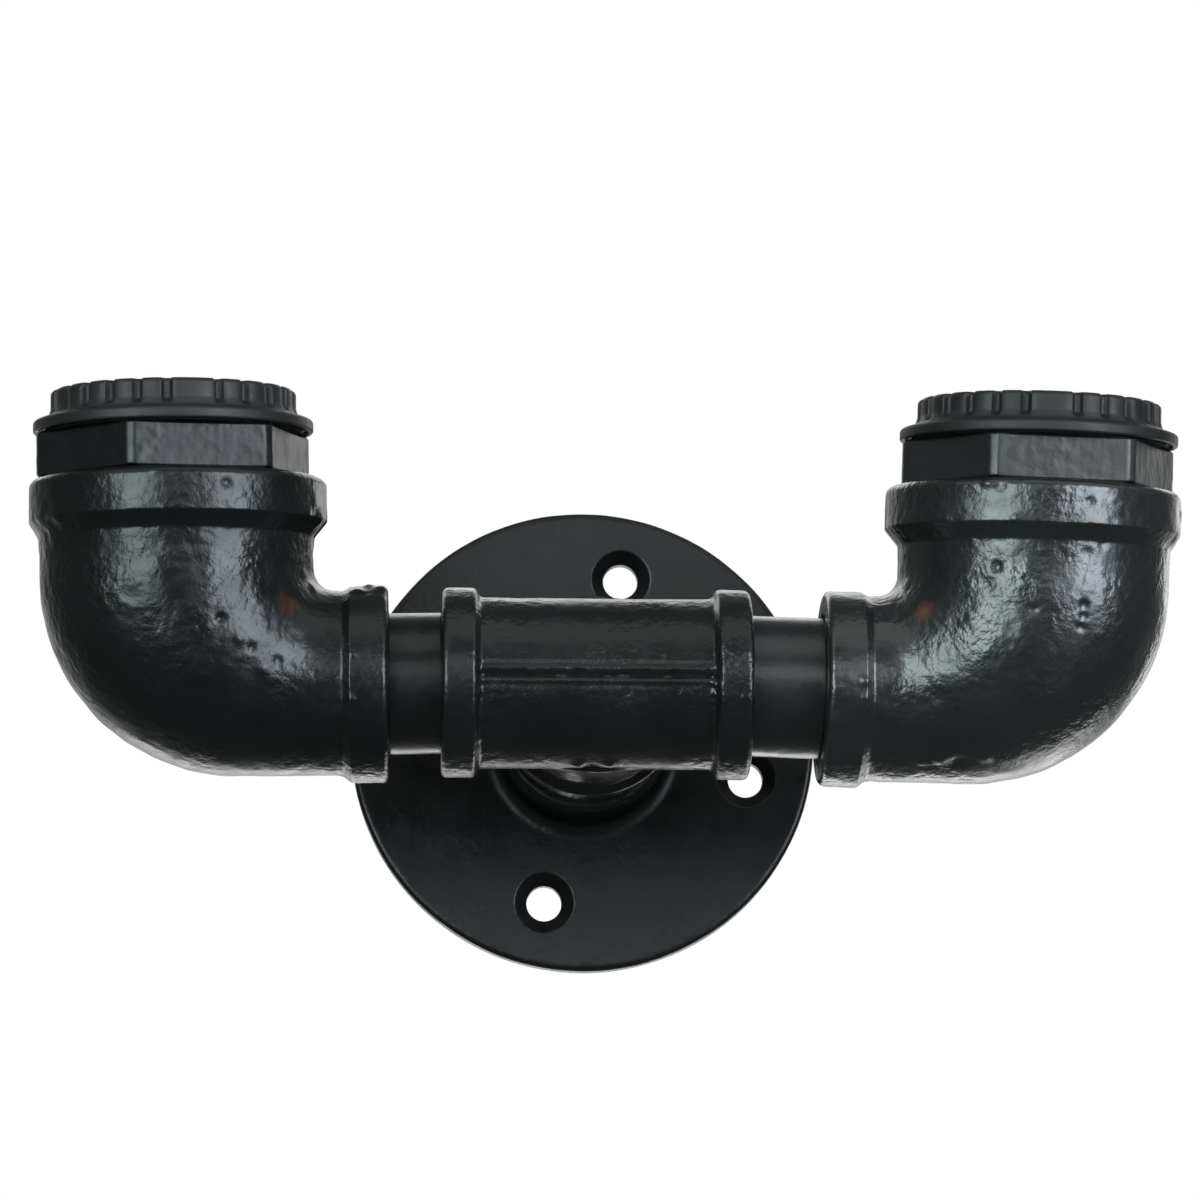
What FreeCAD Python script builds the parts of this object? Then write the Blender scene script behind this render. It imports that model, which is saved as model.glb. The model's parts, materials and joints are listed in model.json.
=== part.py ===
import FreeCAD, Part
import math
import os

# Industrial pipe wall light: a round cast floor flange on the wall, a centre nipple, a tee, two short side
# nipples, two reducing elbows (1 1/4 in by 3/4 in), and in each elbow's mouth a hex bushing with an E27
# lampholder and its fluted shade ring. The wiring runs inside the pipes.
#
# Frame: millimetres. The origin is the centre of the flange's back face, on the wall. +X is to the right
# as the viewer faces the wall, +Y goes into the wall and +Z is up. The light stands out towards -Y.

V = FreeCAD.Vector
os.makedirs("parts", exist_ok=True)

# ---------------------------------------------------------------- driving dimensions (mm, degrees)
FLANGE_R = 47.9            # wall flange, outside radius
FLANGE_T = 5.2             # disc thickness
FLANGE_H = 21.0            # height of the boss above the wall
BOSS_R = 17.3              # boss radius
HUB_R = 20.8               # radius where the boss's fillet meets the disc
HOLE_PCD = 69.4            # four fixing holes
HOLE_R = 3.6
HOLE_SINK_R = 6.1
HOLE_ANGLE = 77.0          # angle of the first hole from +X, seen by the viewer

EARTH_R = 16.0             # earth screw's distance from the flange's centre
EARTH_POCKET = 2.25

PIPE_R = 13.45             # 3/4 in pipe, 26.9 mm outside
THREAD_R = 13.20           # its threaded ends
PIPE_BORE_R = 10.45
SOCKET_R = 13.25           # threaded bores of the fittings
TEE_Y = -74.0              # the tee's run axis, from the wall
TEE_HALF = 29.3            # half the run
TEE_BRANCH = 30.5          # run axis to the branch's face
TEE_BODY_R = 16.3
TEE_BEAD_R = 18.1
TEE_BEAD_W = 6.5
ENGAGE = 13.0              # thread engagement

LEFT_GAP = 10.0            # bare pipe between tee and left elbow
RIGHT_GAP = 13.8           # and on the right, where the joint is screwed in less
LEFT_LEAN = 6.2            # the elbows lean towards the viewer a little, turned on their nipples
RIGHT_LEAN = 7.1
LEFT_SPLAY = -1.2          # the side nipples aren't quite in line with the tee
RIGHT_SPLAY = 1.5

ELBOW_REACH = 40.6         # vertical mouth's axis to the small end's face
ELBOW_RISE = 39.4          # small end's axis to the mouth's face
BIG_BEAD_R = 28.2
BEAD_OFF = 0.8             # the cast mouth's bead sits a little towards the small end of its tapped bore
BIG_BEAD_W = 8.2
BIG_BODY_R = 25.9
SMALL_BEAD_R = 18.7
SMALL_BEAD_W = 7.2
SMALL_BODY_R = 17.5
BIG_THREAD_R = 20.95       # 1 1/4 in threaded mouth

HEX_AF = 46.4              # hex bushing across flats
HEX_H = 8.8
HEX_CUT = 0.44               # how far the corners are cut back
HEX_ANGLE = {"left": 15.7, "right": 4.1}   # angle of a corner from +X
BUSH_R = 20.90
BUSH_BORE_R = 16.60
BUSH_TAIL = 14.7

HOLDER_R = 16.55           # lampholder body, screwed into the bushing
SKIRT_R = 19.80            # its wider threaded top, on which the shade ring runs
SKIRT_H = 6.5
SHELL_BORE_R = 13.30       # E27 screw shell, at the thread's major diameter
SHELL_T = 0.5

RING_R = 23.4              # fluted part of the shade ring
RING_LIP_R = 26.65
RING_TOP = 16.9            # ring's top above the elbow's mouth face
RING_BORE_R = 19.88
RING_FLUTES = 24
RING_PITCH, RING_LAND = 14.127, 24.603   # degrees between grooves, and across the two wide lands
RING_TURN = {"left": 12.7, "right": 178.2}   # how far each ring is turned from its wide land facing the viewer
FLUTE_R, FLUTE_IN = 0.65, 0.15         # groove radius, and how far inside the wall its centre is
RECESS_R = 25.7              # the underside's recess, inside the lip's turned-down edge
GASKET_T = 0.8

WIRE_R = 0.9               # single-core wires inside the pipes
CORE_PITCH = 2.5           # the wires' distance from the pipe's axis

BLOCK = (16.0, 15.0, 12.4)  # two-pole terminal block in the centre nipple: X, Y, Z
BLOCK_Y = -2.0             # its wall end
CLAMP_X = 3.7              # half the distance between its two clamps

# ---------------------------------------------------------------- helpers
def rev(points, closed=True):
    """A solid turned about local Z from (radius, height) points; a triple (r, z, bulge point) makes an arc."""
    pts = [V(p[0], 0, p[1]) for p in points]
    edges = []
    n = len(points)
    for i in range(n):
        a, b = pts[i], pts[(i + 1) % n]
        if a.distanceToPoint(b) < 1e-7:
            continue
        if len(points[i]) > 2:
            m = V(points[i][2], 0, points[i][3])
            edges.append(Part.Arc(a, m, b).toShape())
        else:
            edges.append(Part.LineSegment(a, b).toShape())
    face = Part.Face(Part.Wire(edges))
    return face.revolve(V(0, 0, 0), V(0, 0, 1), 360)


def arc_mid(cx, cz, r, a0, a1):
    """The middle point of an arc about (cx, cz)."""
    a = math.radians((a0 + a1) / 2)
    return (cx + r * math.cos(a), cz + r * math.sin(a))


def tube(r_out, r_in, z0, z1, chamfer=0.0):
    c = chamfer
    if c:
        return rev([(r_in, z0 + c), (r_in + c, z0), (r_out - c, z0), (r_out, z0 + c),
                    (r_out, z1 - c), (r_out - c, z1), (r_in + c, z1), (r_in, z1 - c)])
    return rev([(r_in, z0), (r_out, z0), (r_out, z1), (r_in, z1)])


def cyl(r, z0, z1):
    return Part.makeCylinder(r, z1 - z0, V(0, 0, z0), V(0, 0, 1))


def axis_z_to(shape, direction):
    """Turns a shape made about local Z so that Z points along direction."""
    s = shape.copy()
    rot = FreeCAD.Rotation(V(0, 0, 1), direction)
    s.Placement = FreeCAD.Placement(V(0, 0, 0), rot).multiply(s.Placement)
    return s


def moved(shape, vector):
    s = shape.copy()
    s.translate(vector)
    return s


def save(name, *shapes):
    parts = []
    for s in shapes:
        parts += s.Solids
    assert parts, name
    for s in parts:
        assert s.isValid() and s.Volume > 0, (name, s.Volume)
    out = parts[0] if len(parts) == 1 else Part.makeCompound(parts)
    out.exportStep("parts/%s.step" % name)
    print("%-30s solids %2d  volume %9.1f" % (name, len(parts), sum(s.Volume for s in parts)))


def route(points, radius, r_max=None):
    """A round wire along straight runs joined by tangent arcs."""
    pts = [V(*p) for p in points]
    edges = []
    last = pts[0]
    for i in range(1, len(pts) - 1):
        a, b, c = pts[i - 1], pts[i], pts[i + 1]
        u, w = (a - b), (c - b)
        lu, lw = u.Length, w.Length
        u.normalize()
        w.normalize()
        turn = math.pi - u.getAngle(w)
        if turn < 1e-4:
            continue
        cut = 0.45 * min(lu, lw)
        r = cut / math.tan(turn / 2)
        if r_max and r > r_max:
            r = r_max
            cut = r * math.tan(turn / 2)
        p, q = b + u * cut, b + w * cut
        bis = (u + w)
        bis.normalize()
        mid = b + bis * (r / math.cos(turn / 2) - r)
        if last.distanceToPoint(p) > 1e-6:
            edges.append(Part.LineSegment(last, p).toShape())
        edges.append(Part.Arc(p, mid, q).toShape())
        last = q
    edges.append(Part.LineSegment(last, pts[-1]).toShape())
    path = Part.Wire(edges)
    tangent = (pts[1] - pts[0])
    tangent.normalize()
    profile = Part.Wire([Part.makeCircle(radius, pts[0], tangent)])
    sweep = path.makePipeShell([profile], True, True)
    length = sum(e.Length for e in edges)
    want = math.pi * radius ** 2 * length
    assert abs(sweep.Volume / want - 1) < 0.02, ("wire sweep", sweep.Volume, want)
    return sweep if sweep.ShapeType == "Solid" else sweep.Solids[0]


# ---------------------------------------------------------------- placing of the two arms
def arm_placement(side):
    """Arm frame: origin where the elbow's two axes cross, +x towards its small end, +z out of its mouth."""
    if side == "left":
        turn, gap, lean, splay, sign = 0.0, LEFT_GAP, LEFT_LEAN, LEFT_SPLAY, -1
    else:
        turn, gap, lean, splay, sign = 180.0, RIGHT_GAP, RIGHT_LEAN, RIGHT_SPLAY, 1
    base = FreeCAD.Placement(V(sign * (TEE_HALF + gap + ELBOW_REACH), 0, 0), FreeCAD.Rotation(V(0, 0, 1), turn))
    leaned = FreeCAD.Placement(V(0, 0, 0), FreeCAD.Rotation(V(1, 0, 0), lean)).multiply(base)
    return nipple_placement(side).multiply(leaned)


def nipple_placement(side):
    """The frame of a side nipple: the tee's run axis, turned by the small error of its thread."""
    sign, splay = (-1, LEFT_SPLAY) if side == "left" else (1, RIGHT_SPLAY)
    pivot = V(sign * (TEE_HALF - ENGAGE / 2), 0, 0)
    turn = FreeCAD.Placement(V(0, 0, 0), FreeCAD.Rotation(V(0, 1, 0), splay), pivot)
    return FreeCAD.Placement(V(0, TEE_Y, 0), FreeCAD.Rotation()).multiply(turn)


def put(shape, placement):
    s = shape.copy()
    s.Placement = placement.multiply(s.Placement)
    return s


# ---------------------------------------------------------------- wall flange
def make_flange():
    t, h = FLANGE_T, FLANGE_H
    prof = [
        (SOCKET_R + 0.8, 0.0),
        (FLANGE_R - 0.6, 0.0), (FLANGE_R, 0.6),
        (FLANGE_R, t - 1.2) + arc_mid(FLANGE_R - 1.2, t - 1.2, 1.2, 0, 90),
        (FLANGE_R - 1.2, t),
        (HUB_R, t) + arc_mid(HUB_R, t + 3.4, 3.4, 270, 185),
        (HUB_R - 3.38, t + 3.1),
        (BOSS_R, h - 1.6) + arc_mid(BOSS_R - 1.6, h - 1.6, 1.6, 0, 90),
        (BOSS_R - 1.6, h),
        (SOCKET_R + 0.9, h), (SOCKET_R, h - 0.9), (SOCKET_R, 0.8),
    ]
    body = rev(prof)
    for k in range(4):
        a = math.radians(HOLE_ANGLE + 90 * k)
        # local x is +X and local y is +Z once the flange faces -Y
        cx, cy = HOLE_PCD / 2 * math.cos(a), HOLE_PCD / 2 * math.sin(a)
        body = body.cut(Part.makeCylinder(HOLE_R, t + 2, V(cx, cy, -1)))
        body = body.cut(Part.makeCone(HOLE_R, HOLE_SINK_R + 0.6, (HOLE_SINK_R - HOLE_R) + 0.6,
                                      V(cx, cy, t - (HOLE_SINK_R - HOLE_R)), V(0, 0, 1)))
    # pocket at the back for the earth screw, open to the bore, and the screw's blind hole in the boss
    body = body.cut(Part.makeCylinder(4.3, EARTH_POCKET + 0.1, V(0, -EARTH_R, -0.1)))
    body = body.cut(Part.makeBox(3.6, 6.0, EARTH_POCKET + 0.1, V(-1.8, -EARTH_R, -0.1)))
    body = body.cut(Part.makeCylinder(1.5, 6.6, V(0, -EARTH_R, 0.0)))
    return body


FACE = FreeCAD.Placement(V(0, 0, 0), FreeCAD.Rotation(V(1, 0, 0), 90))   # local z -> -Y, local y -> +Z


# ---------------------------------------------------------------- nipples
def make_nipple(length, thread0, thread1):
    """A tube from z=0 to length; the threaded ends are a hair smaller than the pipe."""
    c = 0.8
    return rev([
        (PIPE_BORE_R, 0.0 + 0.5), (PIPE_BORE_R + 0.5, 0.0), (THREAD_R - c, 0.0), (THREAD_R, c),
        (THREAD_R, thread0), (PIPE_R, thread0 + 0.3), (PIPE_R, length - thread1 - 0.3), (THREAD_R, length - thread1),
        (THREAD_R, length - c), (THREAD_R - c, length), (PIPE_BORE_R + 0.5, length), (PIPE_BORE_R, length - 0.5),
    ])


# ---------------------------------------------------------------- tee
def bead_profile(body_r, bead_r, bead_w, face, start, slope=1.6, rnd=1.3):
    """Outline points of a socket end: the body up to a banded bead whose outer face is at z=face."""
    return [
        (body_r, start),
        (body_r, face - bead_w - slope * 0.75),
        (bead_r - 0.25, face - bead_w),
        (bead_r, face - bead_w + 0.35),
        (bead_r, face - rnd) + arc_mid(bead_r - rnd, face - rnd, rnd, 0, 90),
        (bead_r - rnd, face),
    ]


def socket_solid(body_r, bead_r, bead_w, face, rnd=1.3):
    return rev([(0.0, 0.0)] + bead_profile(body_r, bead_r, bead_w, face, 0.0, rnd=rnd) + [(0.0, face)])


def make_tee():
    left = axis_z_to(socket_solid(TEE_BODY_R, TEE_BEAD_R, TEE_BEAD_W, TEE_HALF), V(-1, 0, 0))
    right = axis_z_to(socket_solid(TEE_BODY_R, TEE_BEAD_R, TEE_BEAD_W, TEE_HALF), V(1, 0, 0))
    branch = axis_z_to(socket_solid(TEE_BODY_R, TEE_BEAD_R, TEE_BEAD_W, TEE_BRANCH), V(0, 1, 0))
    body = left.fuse([right, branch]).removeSplitter()
    # the parting rib along the front of the run
    rib = Part.makeBox(2 * (TEE_HALF - TEE_BEAD_W - 0.6), 1.2, 1.7, V(-(TEE_HALF - TEE_BEAD_W - 0.6), -TEE_BODY_R - 0.45, 1.4))
    body = body.fuse(rib).removeSplitter()
    seat = ENGAGE + 0.6
    for side, sign in (("left", -1), ("right", 1)):
        p = nipple_placement(side)
        local = FreeCAD.Placement(V(0, -TEE_Y, 0), FreeCAD.Rotation()).multiply(p)
        bore = axis_z_to(rev([(0, TEE_HALF - seat), (SOCKET_R, TEE_HALF - seat), (SOCKET_R, TEE_HALF - 0.9),
                              (SOCKET_R + 1.4, TEE_HALF + 0.5), (SOCKET_R + 1.4, TEE_HALF + 4), (0, TEE_HALF + 4)]), V(sign, 0, 0))
        body = body.cut(put(bore, local))
    bore = axis_z_to(rev([(0, TEE_BRANCH - seat), (SOCKET_R, TEE_BRANCH - seat), (SOCKET_R, TEE_BRANCH - 0.9),
                          (SOCKET_R + 1.4, TEE_BRANCH + 0.5), (SOCKET_R + 1.4, TEE_BRANCH + 4), (0, TEE_BRANCH + 4)]), V(0, 1, 0))
    body = body.cut(bore)
    run = axis_z_to(cyl(12.6, -(TEE_HALF - seat) - 1.0, TEE_HALF - seat + 1.0), V(1, 0, 0))
    stem = axis_z_to(cyl(12.6, 0, TEE_BRANCH - seat + 0.5), V(0, 1, 0))
    body = body.cut(run.fuse(stem))
    return body


# ---------------------------------------------------------------- reducing elbow, arm frame
PIV = (30.4, 22.0)         # centre of the inside fillet (x, z)
FIL = 4.1                  # its radius
OUT_C = (12.5, 20.8)       # centre of the outside bend
OUT_R = 38.0


def outer_point(t):
    """Where a ray from the inside fillet's centre meets the outside of the bend."""
    dx, dz = -math.cos(t), -math.sin(t)
    px, pz = PIV
    # circle of the bend
    ox, oz = px - OUT_C[0], pz - OUT_C[1]
    b = ox * dx + oz * dz
    s = -b + math.sqrt(b * b - (ox * ox + oz * oz - OUT_R ** 2))
    x, z = px + dx * s, pz + dz * s
    if z > OUT_C[1]:                       # straight wall under the mouth
        s = (px - (OUT_C[0] - OUT_R)) / -dx
    elif x > OUT_C[0]:                     # straight wall towards the small end
        s = (pz - (OUT_C[1] - OUT_R)) / -dz
    return s


def bend(wall0, wall1, z_top, x_end, n=8):
    """The bend as one smooth tube-like solid, from height z_top round to x_end, wall0 to wall1 inside the skin."""
    rows = []
    s1 = outer_point(0.0)
    x0, r0 = PIV[0] - (s1 + FIL) / 2, (s1 - FIL) / 2 - wall0
    for k in range(3):
        rows.append((V(x0, 0, z_top + (PIV[1] - z_top) * k / 3), V(-1, 0, 0), r0))
    for k in range(n + 1):
        t = math.radians(90.0 * k / n)
        s0, s1 = FIL, outer_point(t)
        mid, r = (s0 + s1) / 2, (s1 - s0) / 2 - (wall0 + (wall1 - wall0) * k / n)
        d = V(-math.cos(t), 0, -math.sin(t))
        rows.append((V(PIV[0], 0, PIV[1]) + d * mid, d, r))
    c, u, r1 = rows[-1]
    for k in (1, 2):
        rows.append((V(PIV[0] + (x_end - PIV[0]) * k / 2, 0, c.z), V(0, 0, -1), r1))
    # rational circles as control rows: the ends are true circles, and the skin is smooth between them
    h = math.sqrt(0.5)
    pattern = [(1, 0, 1), (1, 1, h), (0, 1, 1), (-1, 1, h), (-1, 0, 1), (-1, -1, h), (0, -1, 1), (1, -1, h), (1, 0, 1)]
    poles = [[c + u * (a * r) + V(0, b * r, 0) for c, u, r in rows] for a, b, w in pattern]
    weights = [[w for _ in rows] for a, b, w in pattern]
    knots = list(range(len(rows) - 2))
    surface = Part.BSplineSurface()
    surface.buildFromPolesMultsKnots(poles, [3, 2, 2, 2, 3], [4] + [1] * (len(rows) - 4) + [4], [0, 1, 2, 3, 4], knots,
                                     False, False, 2, 3, weights)
    face = surface.toShape()
    top = [e for e in face.Edges if e.BoundBox.ZMin > z_top - 1e-3]
    end = [e for e in face.Edges if e.BoundBox.XMin > x_end - 1e-3]
    shell = Part.Shell([face, Part.Face(Part.Wire(top)), Part.Face(Part.Wire(end))])
    shell.sewShape()
    solid = Part.Solid(shell)
    if solid.Volume < 0:
        solid.reverse()
    return solid


def make_elbow():
    rise, wide = ELBOW_RISE, BIG_BEAD_W
    body = bend(0.0, 0.0, rise - 3.0, ELBOW_REACH - 3.0)
    top = rev([(0, rise - wide - 6.0), (BIG_BODY_R - 2.2, rise - wide - 6.0), (BIG_BODY_R + 0.5, rise - wide - 3.6),
               (BIG_BEAD_R - 0.3, rise - wide), (BIG_BEAD_R, rise - wide + 0.5),
               (BIG_BEAD_R, rise - 1.7) + arc_mid(BIG_BEAD_R - 1.7, rise - 1.7, 1.7, 0, 90), (BIG_BEAD_R - 1.7, rise), (0, rise)])
    small = axis_z_to(rev([
        (0, ELBOW_REACH - SMALL_BEAD_W - 3.0), (SMALL_BODY_R - 0.6, ELBOW_REACH - SMALL_BEAD_W - 3.0),
        (SMALL_BEAD_R - 0.25, ELBOW_REACH - SMALL_BEAD_W), (SMALL_BEAD_R, ELBOW_REACH - SMALL_BEAD_W + 0.4),
        (SMALL_BEAD_R, ELBOW_REACH - 1.2) + arc_mid(SMALL_BEAD_R - 1.2, ELBOW_REACH - 1.2, 1.2, 0, 90),
        (SMALL_BEAD_R - 1.2, ELBOW_REACH), (0, ELBOW_REACH)]), V(1, 0, 0))
    body = body.fuse(moved(top, V(BEAD_OFF, 0, 0))).fuse(small).removeSplitter()
    mouth = rev([(0, PIV[1] - 2.0), (BIG_THREAD_R, PIV[1] - 2.0), (BIG_THREAD_R, rise - 1.2), (BIG_THREAD_R + 1.5, rise + 0.3),
                 (BIG_THREAD_R + 1.5, rise + 3), (0, rise + 3)])
    socket = axis_z_to(rev([(0, ELBOW_REACH - ENGAGE - 0.8), (SOCKET_R, ELBOW_REACH - ENGAGE - 0.8), (SOCKET_R, ELBOW_REACH - 0.9),
                            (SOCKET_R + 1.2, ELBOW_REACH + 0.3), (SOCKET_R + 1.2, ELBOW_REACH + 3), (0, ELBOW_REACH + 3)]), V(1, 0, 0))
    body = body.cut(mouth).cut(socket)
    return body.cut(bend(5.4, 5.0, PIV[1] + 3.0, PIV[0] + 2.0))


# ---------------------------------------------------------------- hex bushing, arm frame
def make_bushing():
    z0 = ELBOW_RISE + 0.02
    z1 = ELBOW_RISE + HEX_H
    side = HEX_AF / math.sqrt(3)
    pts = [V(side * math.cos(math.radians(60 * k)), side * math.sin(math.radians(60 * k)), z0) for k in range(7)]
    hexagon = Part.Face(Part.makePolygon(pts)).extrude(V(0, 0, z1 - z0))
    # the corners are cut back to a turned diameter, with a small chamfer at the top and the foot
    r_cut = side - HEX_CUT
    lathe = rev([(0, z0), (r_cut - 0.8, z0), (r_cut, z0 + 0.5), (r_cut, z1 - 0.5), (r_cut - 0.8, z1), (0, z1)])
    hexagon = hexagon.common(lathe)
    tail = rev([(0, z0 - BUSH_TAIL), (BUSH_R - 1.2, z0 - BUSH_TAIL), (BUSH_R, z0 - BUSH_TAIL + 1.2), (BUSH_R, z0 + 0.5), (0, z0 + 0.5)])
    body = hexagon.fuse(tail).removeSplitter()
    bore = rev([(0, z0 - BUSH_TAIL - 1), (BUSH_BORE_R + 0.6, z0 - BUSH_TAIL - 1), (BUSH_BORE_R + 0.6, z0 - BUSH_TAIL), (BUSH_BORE_R, z0 - BUSH_TAIL + 0.6),
                (BUSH_BORE_R, z1 - 0.6), (BUSH_BORE_R + 0.6, z1), (BUSH_BORE_R + 0.6, z1 + 1), (0, z1 + 1)])
    return body.cut(bore)


# ---------------------------------------------------------------- lampholder, arm frame
SEAT = ELBOW_RISE + HEX_H          # the hex's top face
RIM = SEAT + SKIRT_H               # the lampholder's rim
FLOOR = RIM - 27.6                 # inside floor of the socket
BASE_BOTTOM = FLOOR - 7.0
CAP_BOTTOM = BASE_BOTTOM - 4.2


def make_holder_body():
    inner = SHELL_BORE_R + SHELL_T + 0.55
    return rev([
        (inner, FLOOR - 1.0), (inner + 0.25, FLOOR - 1.0), (14.9, FLOOR - 1.0), (14.9, BASE_BOTTOM), (HOLDER_R - 0.6, BASE_BOTTOM), (HOLDER_R, BASE_BOTTOM + 0.8),
        (HOLDER_R, SEAT + 0.01), (SKIRT_R, SEAT + 0.01), (SKIRT_R, RIM - 0.9) + arc_mid(SKIRT_R - 0.9, RIM - 0.9, 0.9, 0, 90),
        (SKIRT_R - 0.9, RIM), (15.6, RIM) + arc_mid(15.6, RIM - 1.2, 1.2, 90, 180), (14.4, RIM - 1.2), (14.4, RIM - 2.6),
        (inner, RIM - 2.6),
    ])


def make_contact_base():
    """The insulating floor that carries the contacts."""
    body = rev([(0, BASE_BOTTOM + 0.3), (14.75, BASE_BOTTOM + 0.3), (14.75, FLOOR - 1.2), (13.4, FLOOR - 1.2), (13.4, FLOOR), (0, FLOOR)])
    for sx in (-1, 1):     # bays for the terminals, open downwards
        body = body.cut(Part.makeBox(6.4, 11.4, 5.2, V(sx * 7.4 - 3.2, -5.7, BASE_BOTTOM - 0.2)))
        body = body.cut(Part.makeCylinder(1.3, 12, V(sx * 7.4, 0, BASE_BOTTOM)))
    return body


def make_end_cap():
    z0 = CAP_BOTTOM
    body = rev([(0, z0), (12.6, z0) + arc_mid(12.6, z0 + 2.2, 2.2, 270, 360), (14.8, z0 + 2.2), (14.8, BASE_BOTTOM + 0.2), (13.2, BASE_BOTTOM + 0.2),
                (13.2, z0 + 1.6), (0, z0 + 1.6)])
    for sx in (-1, 1):
        body = body.cut(Part.makeCylinder(1.6, 8, V(sx * 7.4, 0, z0 - 2)))
    return body


def make_screw_shell():
    r0, r1 = SHELL_BORE_R, SHELL_BORE_R + SHELL_T
    z0, z1 = FLOOR + 3.4, RIM - 3.0
    shell = rev([(r0, z0), (r1, z0), (r1, z1), (r0, z1)])
    # the shell's inner rim, the strap down from it, and the foot on the neutral rivet
    ring = tube(r1, 11.1, z0, z0 + 0.5)
    strap = Part.makeBox(0.5, 5.0, 3.7, V(11.3, -2.5, FLOOR + 0.2))
    foot = Part.makeBox(6.4, 5.0, 0.5, V(5.4, -2.5, FLOOR + 0.2)).cut(Part.makeCylinder(1.26, 4, V(7.4, 0, FLOOR - 1)))
    return shell.fuse([ring, strap, foot]).removeSplitter()


def leaf(points):
    t = 0.5
    up = [(x, z + t) for x, z in points]
    loop = points + up[::-1]
    face = Part.Face(Part.makePolygon([V(x, -2.6, FLOOR + z) for x, z in loop + loop[:1]]))
    return face.extrude(V(0, 5.2, 0))


def make_contact_pad():
    """The fixed root of the centre contact, held by its rivet."""
    return leaf([(-9.4, 0.1), (-5.4, 0.1)]).cut(Part.makeCylinder(1.26, 4, V(-7.4, 0, FLOOR - 1)))


def make_centre_contact():
    """The sprung tongue, rising to the middle of the floor."""
    return leaf([(-5.39, 0.1), (-1.6, 2.3), (1.6, 2.3), (3.0, 1.5)])


def make_terminals():
    out = []
    for sx in (-1, 1):
        b = Part.makeBox(6.0, 8.0, 4.4, V(sx * 7.4 - 3.0, -4.0, BASE_BOTTOM + 0.1))
        b = b.cut(Part.makeCylinder(1.25, 8, V(sx * 7.4, 0, BASE_BOTTOM - 2)))
        out.append(b)
    return out


def make_rivets():
    """Rivets that join the contacts to the terminals through the base."""
    out = []
    for sx in (-1, 1):
        floor = FLOOR + (0.62 if sx < 0 else 0.72)
        r = cyl(1.2, BASE_BOTTOM + 2.6, floor).fuse(cyl(1.8, floor, floor + 0.6))
        out.append(moved(r.removeSplitter(), V(sx * 7.4, 0, 0)))
    return out


def make_terminal_screws():
    """Clamp screws in the side of each terminal."""
    out = []
    for sx in (-1, 1):
        z = BASE_BOTTOM + 1.5
        head = Part.makeCylinder(1.7, 1.2, V(sx * 7.4, -5.3 if sx < 0 else 5.3, z), V(0, 1 if sx < 0 else -1, 0))
        out.append(head)
    return out


# ---------------------------------------------------------------- shade ring, arm frame
def flute_angles():
    """Evenly spaced grooves, with one wide land at the front and one at the back."""
    angles, a = [], 0.0
    for k in range(RING_FLUTES):
        angles.append(a)
        a += RING_LAND if k in (11, 23) else RING_PITCH
    return [x - 90 + RING_LAND / 2 for x in angles]


def make_ring(turn):
    lip0, lip1 = SEAT + 0.12, SEAT + 2.3
    seat = SEAT + GASKET_T + 0.03
    top = ELBOW_RISE + RING_TOP
    tip = (RING_LIP_R - 0.9 + 0.9 * math.cos(math.radians(70)), lip1 - 0.9 + 0.9 * math.sin(math.radians(70)))
    body = rev([
        (RING_BORE_R, seat), (24.6, seat), (24.6, lip1 - 1.1), (RECESS_R - 0.3, lip1 - 1.1), (RECESS_R, lip1 - 1.4), (RECESS_R, lip0),
        (RING_LIP_R - 0.4, lip0) + arc_mid(RING_LIP_R - 0.4, lip0 + 0.4, 0.4, 270, 360), (RING_LIP_R, lip0 + 0.4), (RING_LIP_R, lip1 - 0.9) + arc_mid(RING_LIP_R - 0.9, lip1 - 0.9, 0.9, 0, 70),
        tip, (RING_R + 0.7, lip1 + 0.55), (RING_R, lip1 + 1.4),
        (RING_R, top - 1.1) + arc_mid(RING_R - 1.1, top - 1.1, 1.1, 0, 90), (RING_R - 1.1, top),
        (RING_BORE_R + 0.7, top), (RING_BORE_R, top - 0.7),
    ])
    cuts = []
    for a in flute_angles():
        c = Part.makeCylinder(FLUTE_R, 8, V(RING_R - FLUTE_IN, 0, lip1 + 1.6))
        c.rotate(V(0, 0, 0), V(0, 0, 1), a + turn)
        cuts.append(c)
    body = body.cut(Part.makeCompound(cuts))
    return body


def make_gasket():
    return tube(24.4, 20.6, SEAT + 0.02, SEAT + GASKET_T)


# ---------------------------------------------------------------- wiring
JOINT_X = ELBOW_REACH - ENGAGE          # the side nipple's end inside the elbow, arm frame
SWIVEL_Y = TEE_Y + TEE_BRANCH - ENGAGE  # the centre nipple's end inside the tee


def arm_leads():
    """Live and neutral, from the lampholder's terminals to the side nipple's end, arm frame."""
    z = BASE_BOTTOM + 2.5
    live = route([(-7.4, 0, z), (-7.4, 0, 2.0), (2.0, 0, -CORE_PITCH), (JOINT_X, 0, -CORE_PITCH)], WIRE_R, 8.0)
    neutral = route([(7.4, 0, z), (7.4, 0, 9.5), (15.5, 0, CORE_PITCH), (JOINT_X, 0, CORE_PITCH)], WIRE_R, 6.0)
    return {"live": live, "neutral": neutral}


def tee_leads(side):
    """The same wires from the side nipple's end through the tee to the centre nipple's end."""
    sign = -1 if side == "left" else 1
    arm = arm_placement(side)
    out = {}
    for pole, z in (("live", -CORE_PITCH), ("neutral", CORE_PITCH)):
        a, b = arm.multVec(V(JOINT_X, 0, z)), arm.multVec(V(JOINT_X + 12.0, 0, z))
        x, zz = sign * 3.2, 3.2 if pole == "neutral" else -3.2
        out[pole] = route([tuple(a), tuple(b), (sign * 9.0, TEE_Y, zz), (x, TEE_Y + 7.0, zz), (x, SWIVEL_Y, zz)], WIRE_R, 7.0)
    return out


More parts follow.
